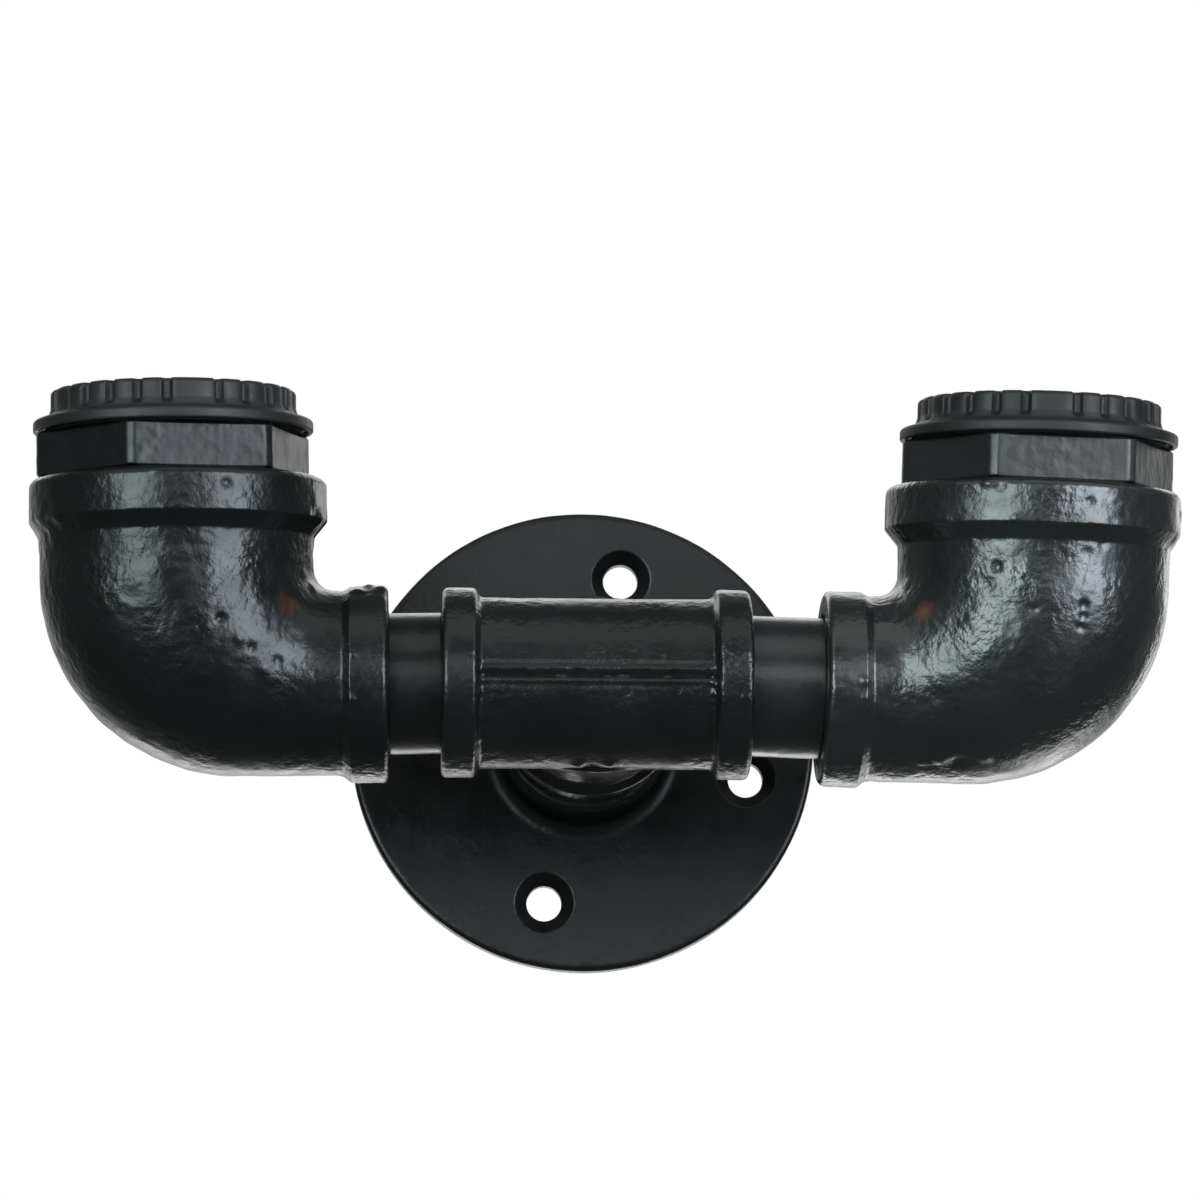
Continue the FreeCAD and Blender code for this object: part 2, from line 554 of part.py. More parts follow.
def root_leads():
    """And on to the terminal block: both lives into one clamp, both neutrals into the other."""
    out = {"live": [], "neutral": []}
    yb = BLOCK_Y - BLOCK[1]
    for pole, px, zz in (("live", -CLAMP_X, -3.2), ("neutral", CLAMP_X, 3.2)):
        for sign in (-1, 1):
            x = sign * 3.2
            end = (px + sign * 0.94, 0.0)
            out[pole].append(route([(x, SWIVEL_Y, zz), (x, SWIVEL_Y + 12.0, zz), (end[0], yb - 8.0, end[1]), (end[0], yb + 5.0, end[1])],
                                   WIRE_R, 14.0))
    return out


def make_block():
    bx, by, bz = BLOCK
    body = Part.makeBox(bx, by, bz, V(-bx / 2, BLOCK_Y - by, -bz / 2))
    body = body.makeFillet(1.0, [e for e in body.Edges if abs(e.tangentAt(e.FirstParameter).y) > 0.9])
    waist = Part.makeBox(1.6, by + 2, 3.0, V(-0.8, BLOCK_Y - by - 1, bz / 2 - 2.0))
    body = body.cut(waist)
    clamps, screws = [], []
    for sx in (-1, 1):
        hole = axis_z_to(cyl(2.75, 0, by + 2), V(0, -1, 0))
        body = body.cut(moved(hole, V(sx * CLAMP_X, BLOCK_Y + 1, 0)))
        clamp = axis_z_to(tube(2.7, 2.0, 0.8, by - 0.8), V(0, -1, 0))
        clamp = moved(clamp, V(sx * CLAMP_X, BLOCK_Y, 0))
        for dy in (4.2, by - 4.2):
            y = BLOCK_Y - dy
            body = body.cut(Part.makeCylinder(1.6, 8, V(sx * CLAMP_X, y, 1.0)))
            clamp = clamp.cut(Part.makeCylinder(1.3, 4, V(sx * CLAMP_X, y, 1.0)))
            low = 1.95
            screw = Part.makeCylinder(1.25, bz / 2 - 0.6 - low, V(sx * CLAMP_X, y, low))
            slot = Part.makeBox(3.0, 0.5, 0.8, V(sx * CLAMP_X - 1.5, y - 0.25, bz / 2 - 1.4))
            screws.append(screw.cut(slot))
        clamps.append(clamp)
    return body, clamps, screws


def make_earth():
    """Earth screw and ring lug in the flange's back; local frame of the flange, z out of the wall."""
    screw = cyl(1.45, 1.3, 6.2).fuse(cyl(2.9, 0.15, 1.35)).removeSplitter()
    screw = moved(screw, V(0, -EARTH_R, 0)).cut(Part.makeBox(6.4, 0.8, 0.7, V(-3.2, -EARTH_R - 0.4, 0.0)))
    lug = Part.makeCylinder(3.2, 0.8, V(0, -EARTH_R, 1.4)).fuse(Part.makeBox(2.4, 5.0, 0.8, V(-1.2, -EARTH_R + 2.0, 1.4)))
    lug = lug.cut(Part.makeCylinder(1.5, 4, V(0, -EARTH_R, 0)))
    barrel = Part.makeBox(2.4, 3.4, 1.7, V(-1.2, -EARTH_R + 4.6, 1.0))
    return screw, lug.fuse(barrel).removeSplitter()


# ---------------------------------------------------------------- build
def main():
    flange = put(make_flange(), FACE)
    save("wall_flange", flange)

    y0, y1 = 7.0, -TEE_Y - TEE_BRANCH + ENGAGE
    centre = put(moved(make_nipple(y1 - y0, FLANGE_H - y0 - 0.6, ENGAGE - 0.6), V(0, 0, y0)), FACE)
    save("centre_nipple", centre)

    save("tee", moved(make_tee(), V(0, TEE_Y, 0)))

    for side, sign, gap in (("left", -1, LEFT_GAP), ("right", 1, RIGHT_GAP)):
        nip = moved(make_nipple(gap + 2 * ENGAGE, ENGAGE - 0.6, ENGAGE - 0.6), V(0, 0, TEE_HALF - ENGAGE))
        nip = axis_z_to(nip, V(sign, 0, 0))
        save(side + "_nipple", put(nip, nipple_placement(side)))

        arm = arm_placement(side)
        save(side + "_elbow", put(make_elbow(), arm))
        hexturn = HEX_ANGLE[side] - (0 if side == "left" else 180)
        bush = make_bushing()
        bush.rotate(V(0, 0, 0), V(0, 0, 1), hexturn)
        save(side + "_hex_bushing", put(bush, arm))
        save(side + "_lampholder_body", put(make_holder_body(), arm))
        save(side + "_contact_base", put(make_contact_base(), arm))
        save(side + "_lampholder_end_cap", put(make_end_cap(), arm))
        save(side + "_screw_shell", put(make_screw_shell(), arm))
        save(side + "_centre_contact", put(make_centre_contact(), arm))
        save(side + "_terminals", *[put(s, arm) for s in make_terminals()])
        save(side + "_contact_pad", put(make_contact_pad(), arm))
        save(side + "_contact_rivets", *[put(s, arm) for s in make_rivets()])
        save(side + "_terminal_screws", *[put(s, arm) for s in make_terminal_screws()])
        ring_turn = RING_TURN[side]
        save(side + "_shade_ring", put(make_ring(ring_turn), arm))
        save(side + "_ring_gasket", put(make_gasket(), arm))
        for pole, wire in arm_leads().items():
            save("%s_arm_%s_lead" % (side, pole), put(wire, arm))
        for pole, wire in tee_leads(side).items():
            save("%s_tee_%s_lead" % (side, pole), wire)

    for pole, wires in root_leads().items():
        save("block_%s_leads" % pole, *wires)
    block, clamps, screws = make_block()
    save("terminal_block", block)
    save("terminal_clamps", *clamps)
    save("terminal_block_screws", *screws)
    screw, lug = make_earth()
    save("earth_screw", put(screw, FACE))
    save("earth_lug", put(lug, FACE))


main()
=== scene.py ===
import bpy
import math
import json
import numpy as np
from mathutils import Matrix, Vector

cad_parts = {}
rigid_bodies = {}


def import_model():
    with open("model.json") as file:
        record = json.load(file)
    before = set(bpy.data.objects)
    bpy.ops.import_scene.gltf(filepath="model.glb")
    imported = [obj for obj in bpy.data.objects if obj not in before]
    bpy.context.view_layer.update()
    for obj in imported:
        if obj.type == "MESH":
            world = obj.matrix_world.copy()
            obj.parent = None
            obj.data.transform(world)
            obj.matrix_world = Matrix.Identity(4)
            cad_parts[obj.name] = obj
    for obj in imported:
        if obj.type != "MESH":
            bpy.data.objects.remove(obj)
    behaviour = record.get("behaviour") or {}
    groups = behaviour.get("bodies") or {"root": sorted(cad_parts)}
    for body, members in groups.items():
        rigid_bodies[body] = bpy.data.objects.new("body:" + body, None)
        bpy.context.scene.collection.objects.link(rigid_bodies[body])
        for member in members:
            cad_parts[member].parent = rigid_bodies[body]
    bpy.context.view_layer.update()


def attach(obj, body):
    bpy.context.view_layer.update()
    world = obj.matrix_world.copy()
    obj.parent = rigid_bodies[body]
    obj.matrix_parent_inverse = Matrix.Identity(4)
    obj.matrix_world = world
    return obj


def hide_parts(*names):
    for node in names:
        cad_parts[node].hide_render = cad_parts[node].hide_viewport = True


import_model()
MM = 0.001

# ------------------------------------------------------------------ dimensions, as in the CAD (mm, degrees)
FLANGE_R, FLANGE_T, FLANGE_H, BOSS_R, HUB_R = 47.9, 5.2, 21.0, 17.3, 20.8
HOLE_PCD, HOLE_R, HOLE_SINK_R, HOLE_ANGLE = 69.4, 3.6, 6.1, 77.0
PIPE_R, THREAD_R, PIPE_BORE_R, SOCKET_R = 13.45, 13.20, 10.45, 13.25
TEE_Y, TEE_HALF, TEE_BRANCH = -74.0, 29.3, 30.5
TEE_BODY_R, TEE_BEAD_R, TEE_BEAD_W, ENGAGE = 16.3, 18.1, 6.5, 13.0
GAP = {"left": 10.0, "right": 13.8}
LEAN = {"left": 6.2, "right": 7.1}
SPLAY = {"left": -1.2, "right": 1.5}
REACH, RISE = 40.6, 39.4
BIG_BEAD_R, BEAD_OFF, BIG_BEAD_W, BIG_BODY_R = 28.2, 0.8, 8.2, 25.9
SMALL_BEAD_R, SMALL_BEAD_W = 18.7, 7.2
BIG_THREAD_R = 20.95
HEX_AF, HEX_H, HEX_CUT = 46.4, 8.8, 0.44
HEX_ANGLE = {"left": 15.7, "right": 4.1}
BUSH_R, BUSH_BORE_R, BUSH_TAIL = 20.90, 16.60, 14.7
HOLDER_R, SKIRT_R, SKIRT_H, SHELL_BORE_R = 16.55, 19.80, 6.5, 13.30
RING_R, RING_LIP_R, RING_TOP, RING_BORE_R, GASKET_T = 23.4, 26.65, 16.9, 19.88, 0.8
SEAT = RISE + HEX_H
RIM = SEAT + SKIRT_H
FLOOR = RIM - 27.6
PIV, FIL, OUT_C, OUT_R = (30.4, 22.0), 4.1, (12.5, 20.8), 38.0
SIDES = ("left", "right")

# ------------------------------------------------------------------ frames


def rot(axis, deg):
    a = math.radians(deg)
    c, s = math.cos(a), math.sin(a)
    m = {"x": [[1, 0, 0], [0, c, -s], [0, s, c]], "y": [[c, 0, s], [0, 1, 0], [-s, 0, c]], "z": [[c, -s, 0], [s, c, 0], [0, 0, 1]]}[axis]
    out = np.eye(4)
    out[:3, :3] = m
    return out


def shift(x, y, z):
    out = np.eye(4)
    out[:3, 3] = (x, y, z)
    return out


def nipple_frame(side):
    sign = -1 if side == "left" else 1
    px = sign * (TEE_HALF - ENGAGE / 2)
    return shift(0, TEE_Y, 0) @ shift(px, 0, 0) @ rot("y", SPLAY[side]) @ shift(-px, 0, 0)


def arm_frame(side):
    sign, turn = (-1, 0) if side == "left" else (1, 180)
    base = shift(sign * (TEE_HALF + GAP[side] + REACH), 0, 0) @ rot("z", turn)
    return nipple_frame(side) @ rot("x", LEAN[side]) @ base


def place(points, m):
    return points @ m[:3, :3].T + m[:3, 3]


# local z out of the wall, local x = +X, local y = +Z
FACE = np.array([[1, 0, 0, 0], [0, 0, -1, 0], [0, 1, 0, 0], [0, 0, 0, 1]], float)
X_UP = np.array([[0, 0, 1, 0], [0, 1, 0, 0], [-1, 0, 0, 0], [0, 0, 0, 1]], float)      # local z -> +X
X_DOWN = np.array([[0, 0, -1, 0], [0, 1, 0, 0], [1, 0, 0, 0], [0, 0, 0, 1]], float)    # local z -> -X

# ------------------------------------------------------------------ noise


def _hash(ix, iy, iz, seed):
    h = (ix.astype(np.uint64) * np.uint64(374761393) + iy.astype(np.uint64) * np.uint64(668265263)
         + iz.astype(np.uint64) * np.uint64(2246822519) + np.uint64(seed * 3266489917 % (1 << 32))) & np.uint64(0xFFFFFFFF)
    h = ((h ^ (h >> np.uint64(15))) * np.uint64(2246822519)) & np.uint64(0xFFFFFFFF)
    h = ((h ^ (h >> np.uint64(13))) * np.uint64(3266489917)) & np.uint64(0xFFFFFFFF)
    return h ^ (h >> np.uint64(16))


_G = np.array([[1, 1, 0], [-1, 1, 0], [1, -1, 0], [-1, -1, 0], [1, 0, 1], [-1, 0, 1], [1, 0, -1], [-1, 0, -1],
               [0, 1, 1], [0, -1, 1], [0, 1, -1], [0, -1, -1]], float)


def noise(p, size, seed=0):
    """Smooth gradient noise, about -1 to 1, with features `size` mm across."""
    shape = p.shape[:-1]
    q = p.reshape(-1, 3) / size + 1000.0
    i = np.floor(q).astype(np.int64)
    f = q - i
    w = f * f * f * (f * (f * 6 - 15) + 10)
    total = np.zeros(len(q))
    for cx in (0, 1):
        for cy in (0, 1):
            for cz in (0, 1):
                g = _G[(_hash(i[:, 0] + cx, i[:, 1] + cy, i[:, 2] + cz, seed) % np.uint64(12)).astype(np.int64)]
                d = (g[:, 0] * (f[:, 0] - cx) + g[:, 1] * (f[:, 1] - cy) + g[:, 2] * (f[:, 2] - cz))
                wx = w[:, 0] if cx else 1 - w[:, 0]
                wy = w[:, 1] if cy else 1 - w[:, 1]
                wz = w[:, 2] if cz else 1 - w[:, 2]
                total += d * wx * wy * wz
    return (total * 1.5).reshape(shape)


def cast_skin(p, seed, peel=1.0, wobble=1.0):
    """How far sand-cast, painted iron stands off its ideal surface (mm)."""
    d = wobble * (0.10 * noise(p, 11.0, seed) + 0.05 * noise(p, 5.0, seed + 1))
    patch = np.clip(noise(p, 9.0, seed + 2) * 0.8 + 0.55, 0.1, 1.2)
    d = d + peel * patch * (0.052 * noise(p, 2.6, seed + 3) + 0.030 * noise(p, 1.3, seed + 4))
    return d


# ------------------------------------------------------------------ profiles and grids


def rounded(points, step=0.45, closed=False, arc_step=None):
    """A polyline through (a, b, fillet radius) corners, with the fillets as arcs and the runs divided. Optional 4th item: step of the run after the corner."""
    n = len(points)
    out = []
    corners = []
    for k in range(n):
        p = np.array(points[k][:2], float)
        r = points[k][2] if len(points[k]) > 2 else 0.0
        if not closed and k in (0, n - 1):
            corners.append((p, p, None))
            continue
        a, b = np.array(points[k - 1][:2], float), np.array(points[(k + 1) % n][:2], float)
        u, v = a - p, b - p
        lu, lv = np.linalg.norm(u), np.linalg.norm(v)
        u, v = u / lu, v / lv
        cosang = float(np.clip(u @ v, -1, 1))
        half = math.acos(cosang) / 2
        if r <= 0 or half > math.pi / 2 - 1e-3:
            corners.append((p, p, None))
            continue
        cut = min(r / math.tan(half), 0.49 * lu, 0.49 * lv)
        r = cut * math.tan(half)
        s, e = p + u * cut, p + v * cut
        m = u + v
        c = p + m / np.linalg.norm(m) * (r / math.sin(half))
        corners.append((s, e, (c, r)))
    for k in range(n if closed else n):
        s, e, arc = corners[k]
        if arc is None:
            out.append(tuple(s))
        else:
            c, r = arc
            a0 = math.atan2(s[1] - c[1], s[0] - c[0])
            a1 = math.atan2(e[1] - c[1], e[0] - c[0])
            da = (a1 - a0 + math.pi) % (2 * math.pi) - math.pi
            m = max(3, int(math.ceil(abs(da) * r / (arc_step or step * 0.6))))
            for j in range(m + 1):
                t = a0 + da * j / m
                out.append((c[0] + r * math.cos(t), c[1] + r * math.sin(t)))
        if not closed and k == n - 1:
            break
        nxt = corners[(k + 1) % n][0]
        st = points[k][3] if len(points[k]) > 3 else step
        L = float(np.linalg.norm(nxt - e))
        m = int(math.ceil(L / st))
        for j in range(1, m):
            q = e + (nxt - e) * j / m
            out.append(tuple(q))
    res = [out[0]]
    for q in out[1:]:
        if math.dist(q, res[-1]) > 1e-4:
            res.append(q)
    if closed and math.dist(res[0], res[-1]) < 1e-4:
        res.pop()
    return np.array(res)


def turned(profile, n=256, angles=None):
    """Grid of points of a profile (radius, z) turned about local z: shape (len(profile), n, 3)."""
    a = np.linspace(0, 2 * math.pi, n, endpoint=False) if angles is None else np.asarray(angles)
    r, z = profile[:, 0][:, None], profile[:, 1][:, None]
    return np.stack([r * np.cos(a), r * np.sin(a), z + 0 * a], -1)


def normals(grid, closed_v=True):
    du = np.roll(grid, -1, 1) - np.roll(grid, 1, 1)
    if closed_v:
        dv = np.roll(grid, -1, 0) - np.roll(grid, 1, 0)
    else:
        dv = np.gradient(grid, axis=0)
    n = np.cross(du, dv)
    return n / np.maximum(np.linalg.norm(n, axis=-1, keepdims=True), 1e-12)


def grid_faces(nv, nu, closed_v):
    i = np.arange(nv if closed_v else nv - 1)
    j = np.arange(nu)
    I, J = np.meshgrid(i, j, indexing="ij")
    I2, J2 = (I + 1) % nv, (J + 1) % nu
    return np.stack([I * nu + J, I * nu + J2, I2 * nu + J2, I2 * nu + J], -1).reshape(-1, 4)


def new_mesh(name, verts, faces, smooth=True):
    """verts in mm; faces an array of triangles or quads, or a list of such arrays."""
    groups = [np.asarray(f) for f in (faces if isinstance(faces, list) and np.ndim(faces[0]) == 2 else [faces]) if len(f)]
    me = bpy.data.meshes.new(name)
    me.vertices.add(len(verts))
    me.vertices.foreach_set("co", (np.asarray(verts, float) * MM).astype(np.float32).ravel())
    idx = np.concatenate([g.astype(np.int32).ravel() for g in groups])
    tot = np.concatenate([np.full(len(g), g.shape[1], np.int32) for g in groups])
    me.loops.add(len(idx))
    me.loops.foreach_set("vertex_index", idx)
    me.polygons.add(len(tot))
    me.polygons.foreach_set("loop_start", np.concatenate([[0], np.cumsum(tot)[:-1]]).astype(np.int32))
    me.polygons.foreach_set("loop_total", tot)
    me.update(calc_edges=True)
    me.validate()
    me.polygons.foreach_set("use_smooth", np.full(len(me.polygons), smooth))
    ob = bpy.data.objects.new(name, me)
    bpy.context.scene.collection.objects.link(ob)
    return ob


def volume(verts, faces):
    v = np.asarray(verts)
    f = np.asarray(faces)
    a, b, c = v[f[:, 0]], v[f[:, 1]], v[f[:, 2]]
    t = np.einsum("ij,ij->i", a, np.cross(b, c)).sum()
    if f.shape[1] == 4:
        d = v[f[:, 3]]
        t += np.einsum("ij,ij->i", a, np.cross(c, d)).sum()
    return t / 6


def grid_object(name, grid, closed_v=True, caps=False):
    """A closed mesh from a grid; the caps argument is not used."""
    nv, nu = grid.shape[:2]
    verts = grid.reshape(-1, 3)
    faces = grid_faces(nv, nu, closed_v)
    if volume(verts, faces) < 0:
        faces = faces[:, ::-1]
    return new_mesh(name, verts, faces)


def outward(grid, closed_v=True):
    """Unit normals that point out of the closed surface."""
    nv, nu = grid.shape[:2]
    n = normals(grid, closed_v)
    f = grid_faces(nv, nu, closed_v)
    # du x dv against the winding used by grid_faces: same sign as the signed volume
    return n if volume(grid.reshape(-1, 3), f) > 0 else -n


def bump(p, centre, size, height):
    """A smooth lump (or pit) about a point."""
    d2 = ((p - np.asarray(centre)) ** 2).sum(-1) / (np.asarray(size) ** 2 if np.ndim(size) == 0 else 1.0)
    return height * np.exp(-d2)


# ------------------------------------------------------------------ materials


def clean(name):
    m = bpy.data.materials.new(name)
    m.use_nodes = True
    nt = m.node_tree
    nt.nodes.clear()
    out = nt.nodes.new("ShaderNodeOutputMaterial")
    b = nt.nodes.new("ShaderNodeBsdfPrincipled")
    nt.links.new(b.outputs[0], out.inputs[0])
    return m, nt, b


def tex_coord(nt):
    return nt.nodes.new("ShaderNodeTexCoord").outputs["Object"]


def n_noise(nt, vec, scale, detail=4.0, rough=0.55, distort=0.0):
    n = nt.nodes.new("ShaderNodeTexNoise")
    n.inputs["Scale"].default_value = scale
    n.inputs["Detail"].default_value = detail
    n.inputs["Roughness"].default_value = rough
    n.inputs["Distortion"].default_value = distort
    nt.links.new(vec, n.inputs["Vector"])
    return n.outputs["Fac"]


def ramp(nt, fac, stops):
    r = nt.nodes.new("ShaderNodeValToRGB")
    nt.links.new(fac, r.inputs[0])
    e = r.color_ramp.elements
    while len(e) > 1:
        e.remove(e[-1])
    first = True
    for pos, col in stops:
        c = (col, col, col, 1) if np.ndim(col) == 0 else tuple(col) + (1,)
        if first:
            e[0].position, e[0].color = pos, c
            first = False
        else:
            k = e.new(pos)
            k.color = c
    return r.outputs[0]


def mapr(nt, fac, a, b, c, d):
    m = nt.nodes.new("ShaderNodeMapRange")
    for i, v in enumerate((a, b, c, d)):
        m.inputs[i + 1].default_value = v
    nt.links.new(fac, m.inputs[0])
    return m.outputs[0]


def mix(nt, fac, a, b):
    m = nt.nodes.new("ShaderNodeMix")
    m.data_type = "RGBA"
    for sock, v in ((m.inputs[0], fac), (m.inputs[6], a), (m.inputs[7], b)):
        if hasattr(v, "links"):
            nt.links.new(v, sock)
        else:
            sock.default_value = v if sock is m.inputs[0] else tuple(v) + (1,)
    return m.outputs[2]


def bump_node(nt, height, strength, distance, prev=None):
    b = nt.nodes.new("ShaderNodeBump")
    b.inputs["Strength"].default_value = strength
    b.inputs["Distance"].default_value = distance
    nt.links.new(height, b.inputs["Height"])
    if prev is not None:
        nt.links.new(prev, b.inputs["Normal"])
    return b.outputs[0]


def iron_paint(name, base=(0.0060, 0.0069, 0.0068), rough=(0.23, 0.35), grain=0.16, seed=0.0, colour_spots=(), gloss=0.5):
    m, nt, b = clean(name)
    vec = tex_coord(nt)
    mp = nt.nodes.new("ShaderNodeMapping")
    mp.inputs["Location"].default_value = (seed, seed * 0.7, seed * 1.3)
    nt.links.new(vec, mp.inputs[0])
    vec2 = mp.outputs[0]
    broad = n_noise(nt, vec2, 55, 3)
    fine = n_noise(nt, vec2, 620, 3)
    colour = ramp(nt, broad, [(0.3, tuple(c * 0.80 for c in base)), (0.7, tuple(c * 1.35 for c in base))])
    for spot, size, tint in colour_spots:
        g = nt.nodes.new("ShaderNodeVectorMath")
        g.operation = "DISTANCE"
        g.inputs[1].default_value = spot
        nt.links.new(vec, g.inputs[0])
        wob = n_noise(nt, vec2, 420, 3)
        wm = nt.nodes.new("ShaderNodeMath")
        wm.operation = "MULTIPLY_ADD"
        nt.links.new(wob, wm.inputs[0])
        wm.inputs[1].default_value = size * 1.2
        nt.links.new(g.outputs["Value"], wm.inputs[2])
        fac = mapr(nt, wm.outputs[0], size * 0.9, size * 2.1, 1.0, 0.0)
        colour = mix(nt, fac, colour, tint)
    nt.links.new(colour, b.inputs["Base Color"])
    nt.links.new(mapr(nt, n_noise(nt, vec2, 140, 5, 0.6), 0.3, 0.7, rough[0], rough[1]), b.inputs["Roughness"])
    patch = mapr(nt, n_noise(nt, vec2, 75, 3, 0.5), 0.38, 0.64, 0.15, 1.0)
    peel = nt.nodes.new("ShaderNodeMath")
    peel.operation = "MULTIPLY"
    nt.links.new(n_noise(nt, vec2, 560, 2, 0.5), peel.inputs[0])
    nt.links.new(patch, peel.inputs[1])
    nrm = bump_node(nt, peel.outputs[0], grain * 3.0, 0.0007)
    nrm = bump_node(nt, fine, grain, 0.0003, nrm)
    nrm = bump_node(nt, n_noise(nt, vec2, 1500, 2), grain * 1.2, 0.00012, nrm)
    nt.links.new(nrm, b.inputs["Normal"])
    b.inputs["IOR"].default_value = 1.5
    b.inputs["Specular IOR Level"].default_value = gloss
    return m


def plain(name, base, rough=(0.3, 0.5), metal=0.0, scale=300, grain=0.05, vary=0.12, coat=0.0):
    m, nt, b = clean(name)
    vec = tex_coord(nt)
    f = n_noise(nt, vec, scale, 4)
    nt.links.new(ramp(nt, n_noise(nt, vec, scale * 0.2, 3), [(0.3, tuple(c * (1 - vary) for c in base)), (0.7, tuple(min(1, c * (1 + vary)) for c in base))]), b.inputs["Base Color"])
    nt.links.new(mapr(nt, f, 0.3, 0.7, rough[0], rough[1]), b.inputs["Roughness"])
    nt.links.new(bump_node(nt, f, grain, 0.0002), b.inputs["Normal"])
    b.inputs["Metallic"].default_value = metal
    b.inputs["Coat Weight"].default_value = coat
    return m


# ------------------------------------------------------------------ camera, light, floor
cam_data = bpy.data.cameras.new("camera")
cam_data.sensor_width = 36.0
cam_data.lens = 4253.4 / 1200 * 36
cam_data.clip_start, cam_data.clip_end = 0.05, 50
cam = bpy.data.objects.new("camera", cam_data)
bpy.context.scene.collection.objects.link(cam)
yaw, pitch, roll = 0.037835, 0.188167, 0.0024386
cy, sy, cp, sp = math.cos(yaw), math.sin(yaw), math.cos(pitch), math.sin(pitch)
fwd = np.array([sy * cp, cy * cp, sp])
right0 = np.array([cy, -sy, 0.0])
up0 = np.cross(right0, fwd)
cr, sr = math.cos(roll), math.sin(roll)
right, up = right0 * cr + up0 * sr, up0 * cr - right0 * sr
cam.matrix_world = Matrix(((right[0], up[0], -fwd[0], -0.0294007), (right[1], up[1], -fwd[1], -0.874), (right[2], up[2], -fwd[2], -0.1361218), (0, 0, 0, 1)))
bpy.context.scene.camera = cam


def area(name, where, target, size, power, colour=(1, 1, 1)):
    d = bpy.data.lights.new(name, "AREA")
    d.shape = "RECTANGLE"
    d.size, d.size_y = size
    d.energy = power
    d.color = colour
    o = bpy.data.objects.new(name, d)
    bpy.context.scene.collection.objects.link(o)
    o.location = where
    o.rotation_euler = (Vector(target) - Vector(where)).to_track_quat("-Z", "Y").to_euler()
    return o


def softbox(name, az, el, width, height, radiance, dist=2.4, colour=(1, 1, 1)):
    """A soft rectangular light seen from the object at an azimuth (0 = in front, + = right) and an elevation."""
    a, e = math.radians(az), math.radians(el)
    d = Vector((math.sin(a) * math.cos(e), -math.cos(a) * math.cos(e), math.sin(e)))
    target = Vector((0.0, -0.06, 0.0))
    w, h = 2 * dist * math.tan(math.radians(width / 2)), 2 * dist * math.tan(math.radians(height / 2))
    o = area(name, target + d * dist, target, (w, h), math.pi * w * h * radiance, colour)
    o.visible_camera = False
    return o


softbox("softbox_left", -31, 6, 38, 42, 1.5, colour=(0.84, 0.98, 1.0))
softbox("softbox_left_core", -31, 6, 26, 32, 5.2, dist=2.5, colour=(0.84, 0.98, 1.0))
softbox("softbox_right", 40, 6, 32, 42, 1.8, colour=(0.81, 0.90, 1.0))
softbox("softbox_right_core", 42.5, 6, 26, 32, 6.6, dist=2.5, colour=(0.81, 0.90, 1.0))
softbox("front_fill", 14, 14, 28, 22, 1.3, dist=2.6)
softbox("top_fill", 6, 62, 110, 36, 0.60)
softbox("back_right", 146, 6, 14, 24, 1.9, dist=2.5)
softbox("back_right_low", 142, -36, 22, 28, 2.2, dist=2.5)
softbox("back_low", 180, -24, 50, 18, 2.4)
softbox("back_top", 180, 36, 70, 20, 1.8)

world = bpy.data.worlds.new("studio")
bpy.context.scene.world = world
world.use_nodes = True
wn = world.node_tree
wn.nodes.clear()
wo = wn.nodes.new("ShaderNodeOutputWorld")
seen = wn.nodes.new("ShaderNodeBackground")
seen.inputs[0].default_value = (1, 1, 1, 1)
seen.inputs[1].default_value = 1.0
room = wn.nodes.new("ShaderNodeBackground")
room.inputs[1].default_value = 1.0
# the room in front of the wall is dark, and the white sweep is behind the object
wt = wn.nodes.new("ShaderNodeTexCoord")
ws = wn.nodes.new("ShaderNodeSeparateXYZ")
wn.links.new(wt.outputs["Generated"], ws.inputs[0])
wn.links.new(ramp(wn, mapr(wn, ws.outputs["Y"], -1, 1, 0, 1), [(0.0, (0.072, 0.082, 0.081)), (0.68, (0.10, 0.110, 0.110)), (0.88, (0.20, 0.206, 0.21)), (0.96, (0.78, 0.80, 0.82))]), room.inputs[0])
lp = wn.nodes.new("ShaderNodeLightPath")
wm = wn.nodes.new("ShaderNodeMixShader")
wn.links.new(lp.outputs["Is Camera Ray"], wm.inputs[0])
wn.links.new(room.outputs[0], wm.inputs[1])
wn.links.new(seen.outputs[0], wm.inputs[2])
wn.links.new(wm.outputs[0], wo.inputs[0])
bpy.context.scene.view_settings.view_transform = "Standard"

floor = new_mesh("floor", [(-6000, -6000, -420), (6000, -6000, -420), (6000, 6000, -420), (-6000, 6000, -420)], [[0, 1, 2, 3]], smooth=False)
fm, fnt, fb = clean("floor_paper")
fb.inputs["Roughness"].default_value = 0.9
fb.inputs["Emission Color"].default_value = (1, 1, 1, 1)
fb.inputs["Emission Strength"].default_value = 0.3
fnt.links.new(ramp(fnt, n_noise(fnt, tex_coord(fnt), 30, 3), [(0.2, 0.72), (0.8, 0.76)]), fb.inputs["Base Color"])
floor.data.materials.append(fm)
floor.visible_glossy = False
floor.visible_diffuse = False

# ------------------------------------------------------------------ mesh tools


